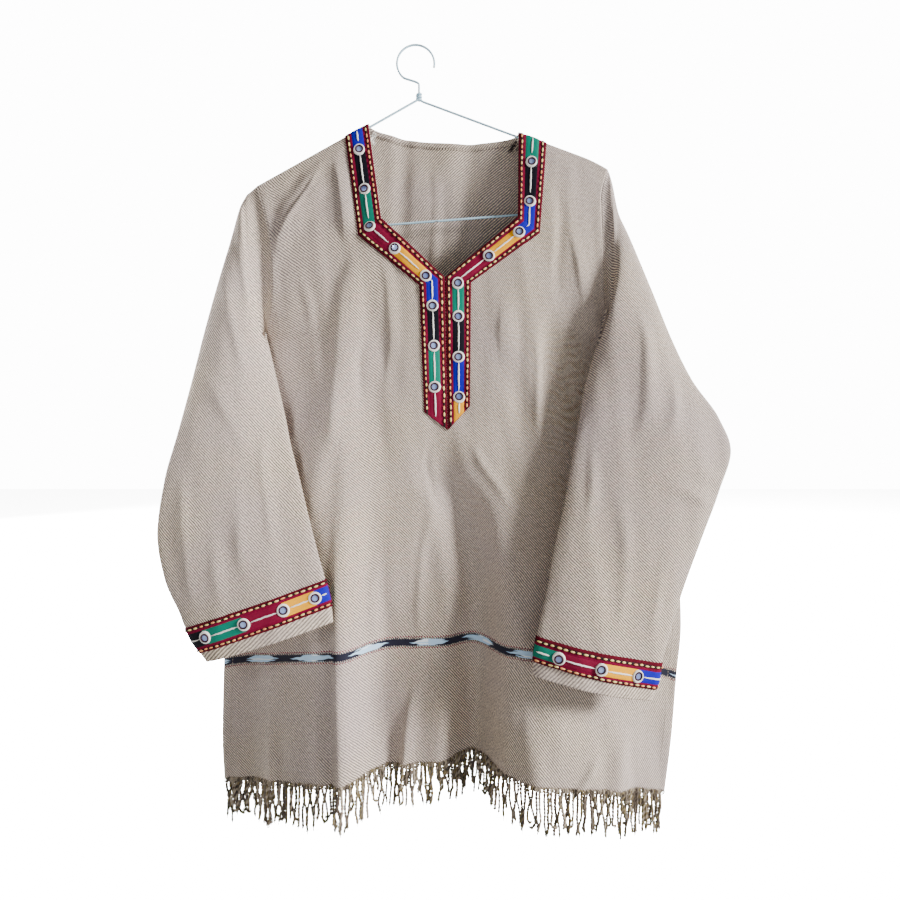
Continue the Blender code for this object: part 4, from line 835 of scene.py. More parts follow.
def addStitch(heap, path, normal, halfWidth, height, kind, tone, sides=6):  # one plump stitch lying on a surface
    path = np.asarray(path, float)
    count = len(path)
    normal = unit(np.broadcast_to(np.asarray(normal, float), path.shape))
    across = unit(np.cross(unit(np.gradient(path, axis=0)), normal))
    swell = np.maximum(0.12, (1 - np.abs(np.linspace(-1, 1, count)) ** 3)) ** 0.6
    turn = 2 * math.pi * np.arange(sides) / sides
    ring = (np.cos(turn)[None, :, None] * across[:, None] * halfWidth
            + np.sin(turn)[None, :, None] * normal[:, None] * height)
    points = path[:, None] + ring * swell[:, None, None]
    heap.add(points, gridFaces(count, sides, wrap=True, flip=True) + endFaces(count, sides), kind, None, tone)


def endFaces(rows, sides):
    return [tuple(range(sides)), tuple(range((rows - 1) * sides, rows * sides))[::-1]]


class RibbonPath:  # a ribbon's ground as a grid of points and normals: rows along it, columns across it
    def __init__(self, points, normals):
        self.points, self.normals = points, normals
        self.along = alongLength(points[:, points.shape[1] // 2])
        self.length = float(self.along[-1])

    def place(self, s, across, lift=0.0):
        s, across, lift = (np.asarray(v, float) for v in np.broadcast_arrays(s, across, lift))
        rows, columns = self.points.shape[:2]
        row = np.interp(s, self.along, np.arange(rows))
        column = np.clip((across / ribbonLook["half"] + 1) / 2 * (columns - 1), 0, columns - 1)
        r = np.minimum(row.astype(int), rows - 2)
        c = np.minimum(column.astype(int), columns - 2)
        fr, fc = (row - r)[..., None], (column - c)[..., None]

        def sample(grid):
            top = grid[r, c] * (1 - fc) + grid[r, c + 1] * fc
            low = grid[r + 1, c] * (1 - fc) + grid[r + 1, c + 1] * fc
            return top * (1 - fr) + low * fr
        return sample(self.points) + unit(sample(self.normals)) * lift[..., None]

    def normal(self, s, across):
        return unit(self.place(s, across, 1.0) - self.place(s, across, 0.0))


def addStrip(heap, ribbon, s0, s1, a0, a1, base, crown, kind, tone, columns):  # a narrow raised band on a ribbon
    count = max(3, int((s1 - s0) / 1.4) + 1)
    s = np.linspace(s0, s1, count)[:, None]
    share = np.linspace(-1, 1, columns)[None, :]
    a = mix(a0, a1, (share + 1) / 2)
    lift = base + crown * (1 - np.abs(share) ** 4) - np.where(np.abs(share) > 0.99, 0.35, 0.0)
    points = ribbon.place(s, a, lift)
    heap.add(points, gridFaces(count, columns), kind, np.stack(np.broadcast_arrays(a, s), -1), tone)


# ribbons: dark red ground, two dotted lines, a satin band whose colour changes at each mirror

ribbonLook = {
    "half": 14.0, "thick": 0.8, "top": 1.2,
    "bandHalf": 7.3, "bandRise": 0.45, "lineAt": 10.4, "lineHalf": 1.45,
    "dashLength": 4.5, "dashPitch": 6.8, "dashHalf": 0.95, "dashHeight": 0.65,
    "centreHalf": 0.92, "centreHeight": 0.7,
    "ground": (0.090, 0.0008, 0.010), "groundMiddle": (0.155, 0.0008, 0.024), "middleHalf": 8.8,
    "columns": 17, "step": 1.5, "lapRise": 0.9, "lapLength": 16.0,
}
mirror = {
    "ringIn": 4.3, "ringOut": 6.5, "rimRadius": 3.85, "rimThick": 0.9,
    "disc": ((4.6, 0.45), (4.1, 0.62), (3.0, 0.74), (1.5, 0.8), (0.0, 0.82)),      # radius, height
    # the glass colours are a painted reflection: deep and pale blue stand in for what the mirror shows
    "paintedReflectionDeep": (0.10, 0.13, 0.42), "paintedReflectionPale": (0.46, 0.62, 1.0),
}
bandColours = {
    "blue": (0.005, 0.0005, 0.34), "black": (0.0015, 0.0015, 0.006), "green": (0.001, 0.165, 0.110),
    "maroon": (0.165, 0.0004, 0.024), "yellow": (1.0, 0.36, 0.0),
}
neckRibbons = {
    "left": {"stretches": (((-80.6, -105.5), (-53.6, -92.2), (-63.7, -223.2), (-37.4, -204.6)),
                           ((-63.7, -223.2), (-37.4, -204.6), (5.4, -281.2), (33.35, -271.6)),
                           ((5.4, -281.2), (33.35, -271.6), (10.7, -422.2), (36.95, -442.2))),
             "mirrors": ((24.5, 72, 117), (39, 85), (28, 73, 118)),
             "colours": ("blue", "black", "green", "maroon", "yellow", "blue", "black", "green", "maroon")},
    "right": {"stretches": (((150.0, -111.0), (117.75, -99.6), (140.4, -221.0), (115.8, -202.7)),
                            ((140.4, -221.0), (115.8, -202.7), (63.1, -277.2), (33.85, -271.6)),
                            ((63.1, -277.2), (33.85, -271.6), (61.8, -415.6), (37.45, -442.2))),
              "mirrors": ((31, 78), (14, 57), (4, 41, 86, 131)),
              "colours": ("green", "black", "blue", "yellow", "maroon", "green", "black", "blue", "yellow")},
}
cuffRibbons = {
    "left": {"front": (0.12, 0.41, 0.69, 0.91), "back": (0.22, 0.5, 0.78),
             "colours": ("blue", "yellow", "maroon", "green", "black", "maroon", "yellow", "green")},
    "right": {"front": (0.20, 0.50, 0.82), "back": (0.22, 0.5, 0.78),
              "colours": ("green", "maroon", "yellow", "blue", "black", "green", "maroon")},
}


def makeGround():
    look = Look("ribbonGround", {"Roughness": 0.85, "Specular IOR Level": 0.1})
    cloth = look.clothMap()
    weave = look.add("Group", {"Map": cloth, "Pitch": 0.0006, "Slub": 0.8}, node_tree=groups["weave"])
    middle = look.math("LESS_THAN", look.math("ABSOLUTE", look.split(cloth)[0]), ribbonLook["middleHalf"] * mm)
    colour = look.blend(middle, ribbonLook["ground"], ribbonLook["groundMiddle"])
    dyed = look.add("Group", {"Colour": colour, "Uneven": weave["Uneven"], "Gain": 1.1, "Least": 0.45},
                    node_tree=groups["dye"])[0]
    return look.dress({"Base Color": dyed, "Normal": look.bump(weave["Height"], 0.5, 0.0004)})


def makeSatin(name, colour):
    look = Look(name, {"Roughness": 0.7, "Specular IOR Level": 0.12})
    laid = look.add("Group", {"Map": look.clothMap()}, node_tree=groups["ribs"])
    # painted shade and highlight: the band's colour runs from 0.55 of its own in the grooves between ribs to 1.25 of it
    # on their crests
    low = tuple(part * 0.55 for part in colour)
    high = tuple(min(1.0, part * 1.25 + 0.002) for part in colour)
    return look.dress({"Base Color": look.blend(laid["Shade"], low, high),
                       "Normal": look.bump(laid["Ribs"], 0.6, 0.0004)})


def makeGlass():
    look = Look("mirrorGlass", {"Metallic": 0.35, "Coat Weight": 0.6})
    # besides its real gloss, the glass's colour is a painted reflection, deep and pale blue mixed by a random smear and
    # each mirror's tone; the smear also varies the roughness
    smearAndPaintedReflection = look.noise(look.ownPlace(), 300.0, 4.0)
    shade = look.math("MULTIPLY_ADD", smearAndPaintedReflection, 0.5, look.math("MULTIPLY", look.tone(), 0.5))
    return look.dress({"Base Color": look.blend(shade, mirror["paintedReflectionDeep"], mirror["paintedReflectionPale"]),
                       "Roughness": look.math("MULTIPLY_ADD", smearAndPaintedReflection, 0.3, 0.06)})


groundMaterial = makeGround()
satin = {name: makeSatin("satin" + name.capitalize(), colour) for name, colour in bandColours.items()}
whiteThread = makeThread("whiteThread", (0.80, 0.77, 0.72), spread=0.18)
creamThread = makeThread("creamThread", (0.83, 0.60, 0.22))
orangeThread = makeThread("orangeThread", (0.88, 0.34, 0.13))
darkThread = makeThread("darkThread", (0.016, 0.006, 0.006))
rimThread = makeThread("rimThread", (0.035, 0.010, 0.020))
mirrorGlass = makeGlass()
trimMaterials = list(satin.values()) + [whiteThread, creamThread, orangeThread, darkThread]
bandKind = {name: i for i, name in enumerate(satin)}
whiteKind, creamKind, orangeKind, darkKind = range(len(satin), len(satin) + 4)


def runLength(startOut, startIn, endOut, endIn):  # along the middle of one straight run of ribbon
    return math.dist(mix(np.array(startOut), startIn, 0.5), mix(np.array(endOut), endIn, 0.5))


def neckRibbonPath(side):
    rows = []
    share = np.linspace(0, 1, ribbonLook["columns"])
    for number, run in enumerate(neckRibbons[side]["stretches"]):
        startOut, startIn, endOut, endIn = run
        length = runLength(*run)
        count = max(8, int(length / ribbonLook["step"]))
        t = np.linspace(0, 1, count + 1)[:, None]
        if number:
            t = t[1:]
        outX, outZ = mix(startOut[0], endOut[0], t), mix(startOut[1], endOut[1], t)
        inX, inZ = mix(startIn[0], endIn[0], t), mix(startIn[1], endIn[1], t)
        x, z = mix(outX, inX, share), mix(outZ, inZ, share)
        z = np.minimum(z, shoulderZ(x) - 0.4)
        lap = np.maximum(0.0, 1 - (t * length + 0.4) / ribbonLook["lapLength"]) if number else 0.0
        rise = ribbonLook["lapRise"] * lap           # each turn laps over the last
        rows.append(np.stack([x, frontY(x, z) - rise, z], -1))
    grid = np.concatenate(rows)
    normals = gridNormals(grid, False)
    if normals[:, :, 1].mean() > 0:
        normals = -normals
    return RibbonPath(grid, normals)


def cuffRibbonPath(grid, normals):
    steps, rings = sleeve["halfSteps"], sleeve["ringsPerRow"]
    order = list(range(steps, -1, -1)) + list(range(grid.shape[1] - 1, steps - 1, -1))
    band = slice(len(grid) - 1 - 2 * rings, len(grid) - rings)
    return RibbonPath(*[np.swapaxes(part[band][:, order], 0, 1) for part in (grid, normals)])


def dressRibbon(name, ribbon, mirrors, colours, seed):
    dice = random.Random(seed)
    look = ribbonLook
    top, columns = look["top"], look["columns"]
    count = int(ribbon.length / look["step"]) + 1
    s = np.linspace(0, ribbon.length, count)[:, None]
    a = np.linspace(-look["half"], look["half"], columns)[None, :]
    points = ribbon.place(s, a, top - 0.25 * (np.abs(a) / look["half"]) ** 8)
    maps = np.stack(np.broadcast_arrays(a, s), -1)
    ground = meshPiece(name, points.reshape(-1, 3), gridFaces(count, columns), [groundMaterial],
                       maps=maps.reshape(-1, 2))
    turnOut(ground, ribbon.place(s, a, top), ribbon.normal(s, a))
    thicken(ground, look["thick"])
    heap = Heap()
    ends = [0.0] + list(mirrors) + [ribbon.length]
    for start, end, colour in zip(ends, ends[1:], colours):
        addStrip(heap, ribbon, max(0.6, start), min(ribbon.length - 0.6, end), -look["bandHalf"], look["bandHalf"],
                 top + 0.05, look["bandRise"], bandKind[colour], dice.random(), 9)
        begin, stop = start + 6.2, end - (6.6 if dice.random() < 0.6 else 10.0)
        if start == 0.0:
            begin = 3.0
        if end == ribbon.length:
            stop = ribbon.length - 5.0
        if stop - begin > 4.0:
            line = np.linspace(begin, stop, max(6, int((stop - begin) / 1.6)))
            sway = np.array([dice.uniform(-0.22, 0.22) for _ in line])
            path = ribbon.place(line, sway, top + look["bandRise"] + 0.2)
            addStitch(heap, path, ribbon.normal(line, 0.0), look["centreHalf"], look["centreHeight"], whiteKind,
                      dice.random())
    for side in (-1, 1):
        at = look["lineAt"] * side
        addStrip(heap, ribbon, 0.4, ribbon.length - 0.4, at - look["lineHalf"], at + look["lineHalf"],
                 top, 0.28, darkKind, 0.4, 5)
        s = 2.0 + dice.uniform(0, 2)
        while s + look["dashLength"] < ribbon.length - 1:
            long = look["dashLength"] * dice.uniform(0.82, 1.1)
            line = np.linspace(s, s + long, 6)
            drift = at + dice.uniform(-0.3, 0.3)
            path = ribbon.place(line, drift, top + 0.5)
            kind = orangeKind if dice.random() < (0.32 if side < 0 else 0.6) else creamKind
            addStitch(heap, path, ribbon.normal(line, drift), look["dashHalf"] * dice.uniform(0.85, 1.15),
                      look["dashHeight"], kind, dice.random())
            s += look["dashPitch"] * dice.uniform(0.94, 1.06)
    trim = heap.build(name + "Threads", trimMaterials)
    discs = Heap()
    for place in mirrors:
        addMirror(discs, ribbon, place, dice)
    glass = discs.build(name + "Mirrors", [whiteThread, mirrorGlass, rimThread])
    return ground, glass


def turnOut(obj, points, normals):  # faces look away from the cloth below
    mesh = obj.data
    points, normals = points.reshape(-1, 3), normals.reshape(-1, 3)
    vote = 0.0
    for face in list(mesh.polygons)[::29]:
        nearest = np.argmin(np.linalg.norm(points - np.array(face.center) / mm, axis=1))
        vote += float(np.dot(np.array(face.normal), normals[nearest]))
    if vote < 0:
        mesh.flip_normals()


def addMirror(heap, ribbon, s, dice):  # a small round glass held by a ring of buttonhole stitches
    centre = ribbon.place(s, 0.0, ribbonLook["top"] + ribbonLook["bandRise"] + 0.25)
    normal = ribbon.normal(s, 0.0)
    along = unit(ribbon.place(s + 2.0, 0.0) - ribbon.place(s - 2.0, 0.0))
    along = unit(along - normal * np.dot(along, normal))
    across = np.cross(normal, along)
    shiftA, shiftB = dice.uniform(-0.5, 0.5), dice.uniform(-0.5, 0.5)
    stitches = dice.randint(24, 30)
    steps = stitches * 4
    turn = 2 * math.pi * np.arange(steps) / steps
    bead = np.abs(np.cos(turn * stitches / 2))
    uneven = 0.5 * np.sin(turn + dice.uniform(0, 6)) + 0.3 * np.sin(2 * turn + dice.uniform(0, 6))
    rings = []
    for t in np.linspace(0, 1, 8):
        reach = mix(mirror["ringIn"], mirror["ringOut"], t) + (uneven * 0.6 + bead * 0.25) * t
        rise = math.sin(math.pi * min(1.0, t * 0.9 + 0.12)) ** 0.7 * (1.1 + 0.25 * bead) - 0.35 * (t > 0.95)
        offA, offB = shiftA * (1 - t), shiftB * (1 - t)
        rings.append(centre + np.outer(np.cos(turn) * reach + offA, along) + np.outer(np.sin(turn) * reach + offB, across)
                     + np.outer(rise, normal))
    heap.add(np.array(rings), gridFaces(8, steps, wrap=True, flip=True), 0, None, dice.uniform(0.35, 0.9))
    middle = centre + along * shiftA + across * shiftB
    turn = 2 * math.pi * np.arange(28) / 28
    discs = [middle + np.outer(np.cos(turn) * r, along) + np.outer(np.sin(turn) * r, across) + normal * h
             for r, h in mirror["disc"][:-1]]
    tip = middle + normal * mirror["disc"][-1][1]
    faces = gridFaces(4, 28, wrap=True, flip=True) + [(3 * 28 + (i + 1) % 28, 3 * 28 + i, 4 * 28) for i in range(28)]
    heap.add(np.concatenate([np.concatenate(discs), tip[None]]), faces, 1, None, dice.random())
    rim = (middle + (np.outer(np.cos(turn), along) + np.outer(np.sin(turn), across)) * mirror["rimRadius"]
           + normal * 0.85)
    rim = np.concatenate([rim, rim[:2]])
    addTube(heap, rim, mirror["rimThick"], 6, 2, dice.random(), capped=False)


def mirrorPlaces(side, ribbon):
    starts = np.concatenate([[0.0], np.cumsum([runLength(*run) for run in neckRibbons[side]["stretches"]])])
    scale = ribbon.length / starts[-1]
    return [(starts[i] + place) * scale for i, group in enumerate(neckRibbons[side]["mirrors"]) for place in group]


for seed, side in ((5, "left"), (6, "right")):
    ribbon = neckRibbonPath(side)
    ground, glass = dressRibbon("neckRibbon" + side.capitalize(), ribbon, mirrorPlaces(side, ribbon),
                                neckRibbons[side]["colours"], seed)
    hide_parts("neck_trim_" + side)
    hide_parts(*["mirror_neck_%s_%d" % (side, n) for n in range(1, 9)])
print("neck ribbons made")

for seed, side, grid, normals in ((7, "left", leftGrid, leftNormals), (8, "right", rightGrid, rightNormals)):
    ribbon, steps, plan = cuffRibbonPath(grid, normals), sleeve["halfSteps"], cuffRibbons[side]
    shareAt = (1 - np.cos(math.pi * np.arange(steps + 1) / steps)) / 2
    inwards = ribbon.along[steps::-1]       # the path starts at the inner fold and comes over the front
    places = [float(np.interp(share, shareAt, inwards)) for share in plan["front"]]
    places += [float(np.interp(share, shareAt, ribbon.along[steps:])) for share in plan["back"]]
    ground, glass = dressRibbon("cuffRibbon" + side.capitalize(), ribbon, sorted(places), plan["colours"],
                                seed)
    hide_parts("cuff_trim_" + side)
    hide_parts(*["mirror_cuff_%s_%s_%d" % (side, part, n + 1)
                         for part in ("front", "back") for n in range(len(plan[part]))])
print("cuff ribbons made")


# fringe: twisted yarns in bunches, some knotted to the next bunch, with frayed ends

fringe = {
    "pitch": 4.2, "length": 47.0, "yarn": 1.9, "twist": 7.5, "meets": 0.72, "curlEvery": 1.5,
    "light": (0.33, 0.27, 0.20), "dark": (0.115, 0.090, 0.066), "ochre": (0.19, 0.145, 0.07),
}
fringeMaterials = [makeThread("yarn" + name.capitalize(), fringe[name], 0.9, 0.1, 0.4)
                   for name in ("light", "dark", "ochre")]


def alongHem(hem, s):
    along = alongLength(hem)
    return np.array([np.interp(s, along, hem[:, axis]) for axis in range(3)])


def fray(heap, dice, place, direction, kind):
    for _ in range(dice.randint(3, 5)):
        way = unit(direction + np.array([dice.uniform(-reach, reach) for reach in (0.8, 0.8, 0.3)]))
        long = dice.uniform(2.0, 5.5)
        curl = np.array([dice.uniform(-reach, reach) for reach in (1, 1, 0.4)])
        t = np.linspace(0, 1, 4)[:, None]
        addTube(heap, place + way * long * t + curl * t * t, 0.2, 3, kind, dice.random(), capped=False)


def makeFringe(name, hem, node, inward, seed):
    dice = random.Random(seed)
    heap = Heap()
    total = alongLength(hem)[-1]
    count = int((total - 4) / fringe["pitch"])
    middle = np.array([0, inward * body["thick"] / 2, 0])
    meets = [[dice.random() < fringe["meets"] for _ in range(count)] for _ in range(2)]
    heights = [[dice.uniform(0.3, 0.48) for _ in range(count)], [dice.uniform(0.66, 0.86) for _ in range(count)]]
    t = np.linspace(0, 1, 21)
    for i in range(count):
        s = 2 + (i + 0.5) * fringe["pitch"] + dice.uniform(-0.7, 0.7)
        start = alongHem(hem, s) + middle + (0, 0, 1.0)
        drop = fringe["length"] * dice.choices((dice.uniform(0.86, 1.06), dice.uniform(0.5, 0.8)), (0.86, 0.14))[0]
        sideways = dice.uniform(-2.2, 2.2) * t ** 2
        depth = dice.uniform(-2.2, 2.2) * t + 0.7 * np.sin(t * dice.uniform(4, 8) + dice.uniform(0, 6))
        for turn in (0, 1):                       # a strand meets one neighbour half way down and the other below
            pair = (i + turn) // 2
            way = 1 if (i + turn) % 2 == 0 else -1
            if meets[turn][pair]:
                near = heights[turn][pair]
                sideways = sideways + way * fringe["pitch"] * 0.36 * np.exp(-((t - near) / 0.13) ** 2)
        sway = 0.35 * np.sin(t * dice.uniform(6, 12) + dice.uniform(0, 6))
        path = np.stack([start[0] + sideways + sway, start[1] + depth, start[2] - (drop + 1.0) * t], -1)
        curl = dice.random()
        if curl < 0.22:                           # the end turns up
            path[-5:, 0] += dice.choice((-1, 1)) * np.array([0.6, 1.6, 2.8, 3.8, 4.2])
            path[-5:, 2] += np.array([0.2, 1.0, 2.6, 5.2, 8.2])
        radius = fringe["yarn"] * dice.uniform(0.8, 1.1) * (1 - 0.08 * t)
        kinds = dice.choice(((0, 1), (1, 1), (0, 2), (2, 1), (0, 0), (1, 2)))
        start = dice.uniform(0, 6)
        addYarn(heap, path, radius, fringe["twist"], kinds, (dice.random(), dice.random()), start)
        fray(heap, dice, path[-1], path[-1] - path[-2], kinds[0])
        if i % 2 == 0 and meets[0][i // 2] and dice.random() < 0.55 and i + 1 < count:
            row = int(heights[0][i // 2] * 20)
            knot = path[row] + (fringe["pitch"] * 0.14, 0, 0)
            wind = np.linspace(0, 3.4 * math.pi, 20)
            wrap = np.stack([knot[0] + 2.3 * np.cos(wind), knot[1] + 1.9 * np.sin(wind),
                             knot[2] + 1.3 - 2.6 * wind / wind[-1]], -1)
            addYarn(heap, wrap, 0.75, 4.5, [dice.choice((0, 1, 1, 2))] * 2, [dice.random()] * 2, sides=4)
        if dice.random() < 0.10:                  # a loop of loose yarn
            wind = np.linspace(-0.4 * math.pi, 1.5 * math.pi, 18)
            size = dice.uniform(2.4, 4.2)
            place = path[dice.randint(7, 16)]
            loop = np.stack([place[0] + size * 0.7 * np.cos(wind), place[1] + 0.8 * np.sin(wind * 1.3),
                             place[2] + size * np.sin(wind)], -1)
            addYarn(heap, loop, 0.7, 4.5, [dice.choice((0, 1, 2))] * 2, [dice.random()] * 2, sides=4)
    s = 1.0
    while s < total - 1:                          # curls and knots that cover the hem's raw edge
        place = alongHem(hem, s) + middle
        turn = np.linspace(0, 2 * math.pi * dice.uniform(0.6, 1.1), 9) + dice.uniform(0, 6)
        size = dice.uniform(1.0, 2.1)
        out = -inward * (body["thick"] / 2 + 0.5) * dice.choice((1, 1, 1, -1))
        curl = np.stack([place[0] + size * np.cos(turn), np.full(9, place[1] + out) + 0.4 * np.sin(turn),
                         place[2] - 0.9 + size * 1.3 * np.sin(turn)], -1)
        addTube(heap, curl, 0.55, 5, dice.choices((0, 1, 2), (0.4, 0.42, 0.18))[0], dice.random())
        s += fringe["curlEvery"] * dice.uniform(0.7, 1.3)
    obj = heap.build(name, fringeMaterials)
    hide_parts(node)
    return obj


frontFringe = makeFringe("fringeFront", frontHem, "fringe_front", 1, 3)
backFringe = makeFringe("fringeBack", backHem, "fringe_back", -1, 8)
print("fringe made")


# hanger: one wire bent to arms, round ends and bar; its left end is wound round the stem

def arcPoints(centre, radius, startDeg, endDeg, steps):
    turn = np.radians(np.linspace(startDeg, endDeg, steps + 1))
    return np.stack([centre[0] + radius * np.cos(turn), centre[1] + radius * np.sin(turn)], -1)


def makeWire():
    look = Look("coatedWire", {"Coat Weight": 0.4})
    scuff = look.noise(look.ownPlace(), 220.0, 5.0)
    worn = look.math("GREATER_THAN", scuff, 0.66)
    return look.dress({"Base Color": look.blend(worn, hanger["coat"], hanger["bare"]),
                       "Roughness": look.math("MULTIPLY_ADD", scuff, 0.3, 0.2),
                       "Normal": look.bump(scuff, 0.15, 0.0003)})


def makeHanger():
    look = hanger
    slope = math.radians(look["armDeg"])
    radius = (look["drop"] * math.cos(slope) - look["half"] * math.sin(slope)) / (1 + math.cos(slope) - math.sin(slope))
    centre = (look["half"] - radius, radius - look["drop"])
    right = arcPoints(centre, radius, 90 - look["armDeg"], -90, 28)
    left = (right * (-1, 1))[::-1]
    tilt = math.radians(look["tiltDeg"])

    def placed(points):
        x, z = points[:, 0], points[:, 1]
        return np.stack([look["apexX"] + x * math.cos(tilt) - z * math.sin(tilt), np.zeros(len(x)),
                         look["apexZ"] + x * math.sin(tilt) + z * math.cos(tilt)], -1)
    hook = arcPoints((0.0, look["wire"] - look["hookRadius"]), look["hookRadius"], look["hookTo"], look["hookFrom"], 40)
    hook = np.stack([hook[:, 0], np.zeros(len(hook)), hook[:, 1]], -1)
    apex = np.array([look["apexX"], 0.0, look["apexZ"]])
    bend = hook[-1]
    stemTop = np.array([apex[0], 0, bend[2] - 9.0])
    lead = bezier(bend, bend + (hook[-1] - hook[-2]) * 2.2, stemTop + (0, 0, 4.0), stemTop, 10)
    arms = placed(np.concatenate([right, left]))
    first = apex + (arms[0] - apex) * 0.075
    turnIn = bezier(apex + (0, 0, 5.0), apex + (0, 0, -1.0), mix(apex, first, 0.3), first, 10)
    stem = np.linspace(stemTop, turnIn[0], 6)
    longArm = np.linspace(first, arms[0], 30)
    backArm = np.linspace(arms[-1], apex + (-2.6, -2.0, -1.4), 40)
    coilTurn = np.linspace(math.pi * 1.25, math.pi * 1.25 + 2 * math.pi * 2.4, 44)
    coil = np.stack([apex[0] + 2.5 * np.cos(coilTurn), 2.5 * np.sin(coilTurn),
                     apex[2] - 0.6 + 7.6 * np.linspace(0, 1, 44)], -1)
    wire = np.concatenate([hook, lead[1:], stem[1:], turnIn[1:], longArm[1:], arms[1:], backArm[1:], coil[1:]])
    heap = Heap()
    addTube(heap, wire, hanger["seenWire"], 12, 0, 0.5)
    obj = heap.build("wireHanger", [makeWire()])
    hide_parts("hanger")


def bezier(a, b, c, d, steps):
    t = np.linspace(0, 1, steps + 1)[:, None]
    return (1 - t) ** 3 * a + 3 * (1 - t) ** 2 * t * b + 3 * (1 - t) * t * t * c + t ** 3 * d


makeHanger()
print("hanger made")


# back neck's turned edge, and the lines of stitching

def makeNeckTurn():
    columns = 90
    x = np.linspace(body["neckLeftX"] + 1.0, body["neckRightX"] - 1.0, columns)
    top = backNeckZ(x)
    rows = []
    for depth, lift in ((1.2, -0.5), (0.1, -0.4), (-0.5, 0.35), (-0.35, 1.4), (0.6, 2.25), (2.4, 2.5), (4.4, 2.45),
                        (5.6, 2.2), (6.3, 1.3)):
        z = top - depth
        rows.append(np.stack([x, backY(x, top - max(depth, 1.0)) - lift, z], -1))
    grid = np.array(rows)
    maps = np.stack([alongLength(grid, 1), alongLength(grid, 0) + 300], -1).reshape(-1, 2)
    return meshPiece("neckTurn", grid.reshape(-1, 3), gridFaces(*grid.shape[:2]), [sleeveTwill], maps=maps)


def addSewing(heap, surface, line, pitch, long, lift, dice, kind):  # running stitches along points (x, z) on a panel
    line = np.asarray(line, float)
    along = alongLength(line)
    s = 0.0
    while s + long < along[-1]:
        t = np.linspace(s, s + long, 4)
        x, z = np.interp(t, along, line[:, 0]), np.interp(t, along, line[:, 1])
        path = np.stack([x, surface(x, z) + lift, z], -1)
        addStitch(heap, path, (0, math.copysign(1, lift), 0), 0.32, 0.3, kind, dice.random(), sides=5)
        s += pitch * dice.uniform(0.95, 1.05)


def makeSewing():
    dice = random.Random(12)
    heap = Heap()
    x = np.linspace(body["neckLeftX"] + 3, body["neckRightX"] - 3, 80)
    addSewing(heap, lambda a, b: backY(a, b) - body["thick"], np.stack([x, backNeckZ(x) - 7.4], -1), 3.4, 2.5, -0.35,
              dice, 0)
    for rows, inwards in ((body["sideLeft"], 11.0), (body["sideRight"], -11.0)):
        z = np.linspace(-420, -826, 120)
        addSewing(heap, frontY, np.stack([sideX(rows, z) + inwards, z], -1), 3.6, 2.6, -0.15, dice, 1)
        addSewing(heap, backY, np.stack([sideX(rows, z) + inwards, z], -1), 3.6, 2.6, 0.15, dice, 1)
    taupe = makeThread("taupeThread", (0.33, 0.28, 0.22))
    heap.build("sewing", [darkThread, taupe])


def makeLooseThreads():  # frayed ends at the two back corners of the neck
    dice = random.Random(31)
    heap = Heap()
    for x0, z0, spreadX, spreadZ, number, kind in ((-49.5, -108, 6, 11, 13, 0), (113.5, -115, 8, 8, 9, 1),
                                                   (108.5, -121, 5, 4, 3, 1)):
        for _ in range(number):
            x, z = x0 + dice.uniform(-spreadX, spreadX) * 0.5, z0 + dice.uniform(-spreadZ, spreadZ) * 0.5
            y = dice.uniform(-1.0, 2.0)
            wind = np.linspace(0, dice.uniform(2, 5), 9) + dice.uniform(0, 6)
            size = dice.uniform(1.2, 3.2)
            path = np.stack([x + size * np.cos(wind) * 0.8, y + 0.7 * np.sin(wind * 1.4),
                             z + size * np.sin(wind) - np.linspace(0, dice.uniform(0, 4), 9)], -1)
            path[:, 2] = np.minimum(path[:, 2], shoulderZ(path[:, 0]) - 1.0)
            addTube(heap, path, 0.4, 5, kind, dice.random())
    heap.build("looseThreads", [whiteThread, darkThread])


neckTurn = makeNeckTurn()
makeLooseThreads()
makeSewing()
print("edges and stitching made")


# stage and light

studio = {"floorZ": -0.930, "floorSize": 12.0, "sky": 0.105, "backdrop": 14.0, "floorLift": 14.0, "floorGlow": 8.0}


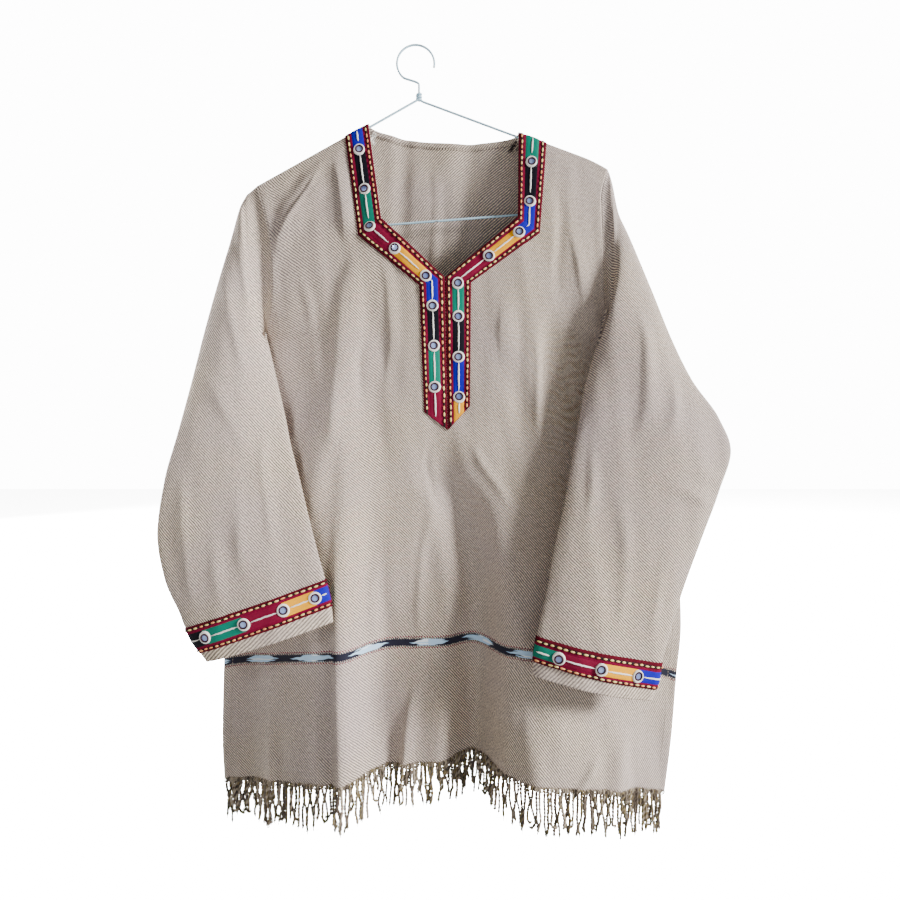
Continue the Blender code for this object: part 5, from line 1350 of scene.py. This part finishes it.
def makeStage():
    half = studio["floorSize"] / 2
    mesh = bpy.data.meshes.new("floor")
    mesh.from_pydata([(-half, -half, 0), (half, -half, 0), (half, half, 0), (-half, half, 0)], [], [(0, 1, 2, 3)])
    floor = bpy.data.objects.new("floor", mesh)
    floor.location = (0, 0, studio["floorZ"])
    bpy.context.scene.collection.objects.link(floor)
    look = Look("palePaper", {})
    look.nodes.remove(look.shader)
    seen = look.add("LightPath")["Is Camera Ray"]
    paper = look.add("BsdfDiffuse", {0: look.blend(seen, (0.5,) * 3, (studio["floorLift"],) * 3)})[0]
    glow = look.add("Emission", {"Strength": look.math("MULTIPLY", seen, studio["floorGlow"])})[0]
    look.feed(look.nodes["Material Output"].inputs, {"Surface": look.add("AddShader", {0: paper, 1: glow})[0]})
    mesh.materials.append(look.material)
    world = bpy.data.worlds.new("paleRoom")
    world.use_nodes = True
    room = Net(world.node_tree)
    seen = room.add("LightPath")["Is Camera Ray"]
    bright = room.math("MULTIPLY_ADD", seen, studio["backdrop"] - studio["sky"], studio["sky"])
    room.feed(room.nodes["Background"].inputs, {0: (1.0, 1.0, 1.0), 1: bright})
    bpy.context.scene.world = world


def addLamp(name, place, target, size, power):
    data = bpy.data.lights.new(name, "AREA" if size[0] else "SPOT")
    if size[0]:
        data.shape = "RECTANGLE"
        data.size, data.size_y = size
    else:
        data.spot_size = math.radians(17)
        data.spot_blend = 1.0
        data.shadow_soft_size = 0.15
    data.energy = power
    lamp = bpy.data.objects.new(name, data)
    lamp.location = place
    direction = np.array(target) - np.array(place)
    lamp.rotation_euler = Vector(direction).to_track_quat("-Z", "Y").to_euler()
    bpy.context.scene.collection.objects.link(lamp)


makeStage()
lamps = (   # name, place, what it points at, size, power
    ("keyLamp", (3.75, -1.30, 0.75), (0.03, 0, -0.45), (0.9, 0.9), 545.0),
    ("fillLamp", (-0.6, -1.8, 0.5), (0.0, 0, -0.45), (0.9, 0.9), 5.0),
    ("backLamp", (-3.3, 1.5, 0.7), (0.03, 0, -0.45), (1.0, 1.0), 330.0),
    ("sleeveLamp", (-0.75, -1.2, 0.35), (-0.21, -0.04, -0.42), (0.0, 0.0), 85.0),
)
for lamp in lamps:
    addLamp(*lamp)
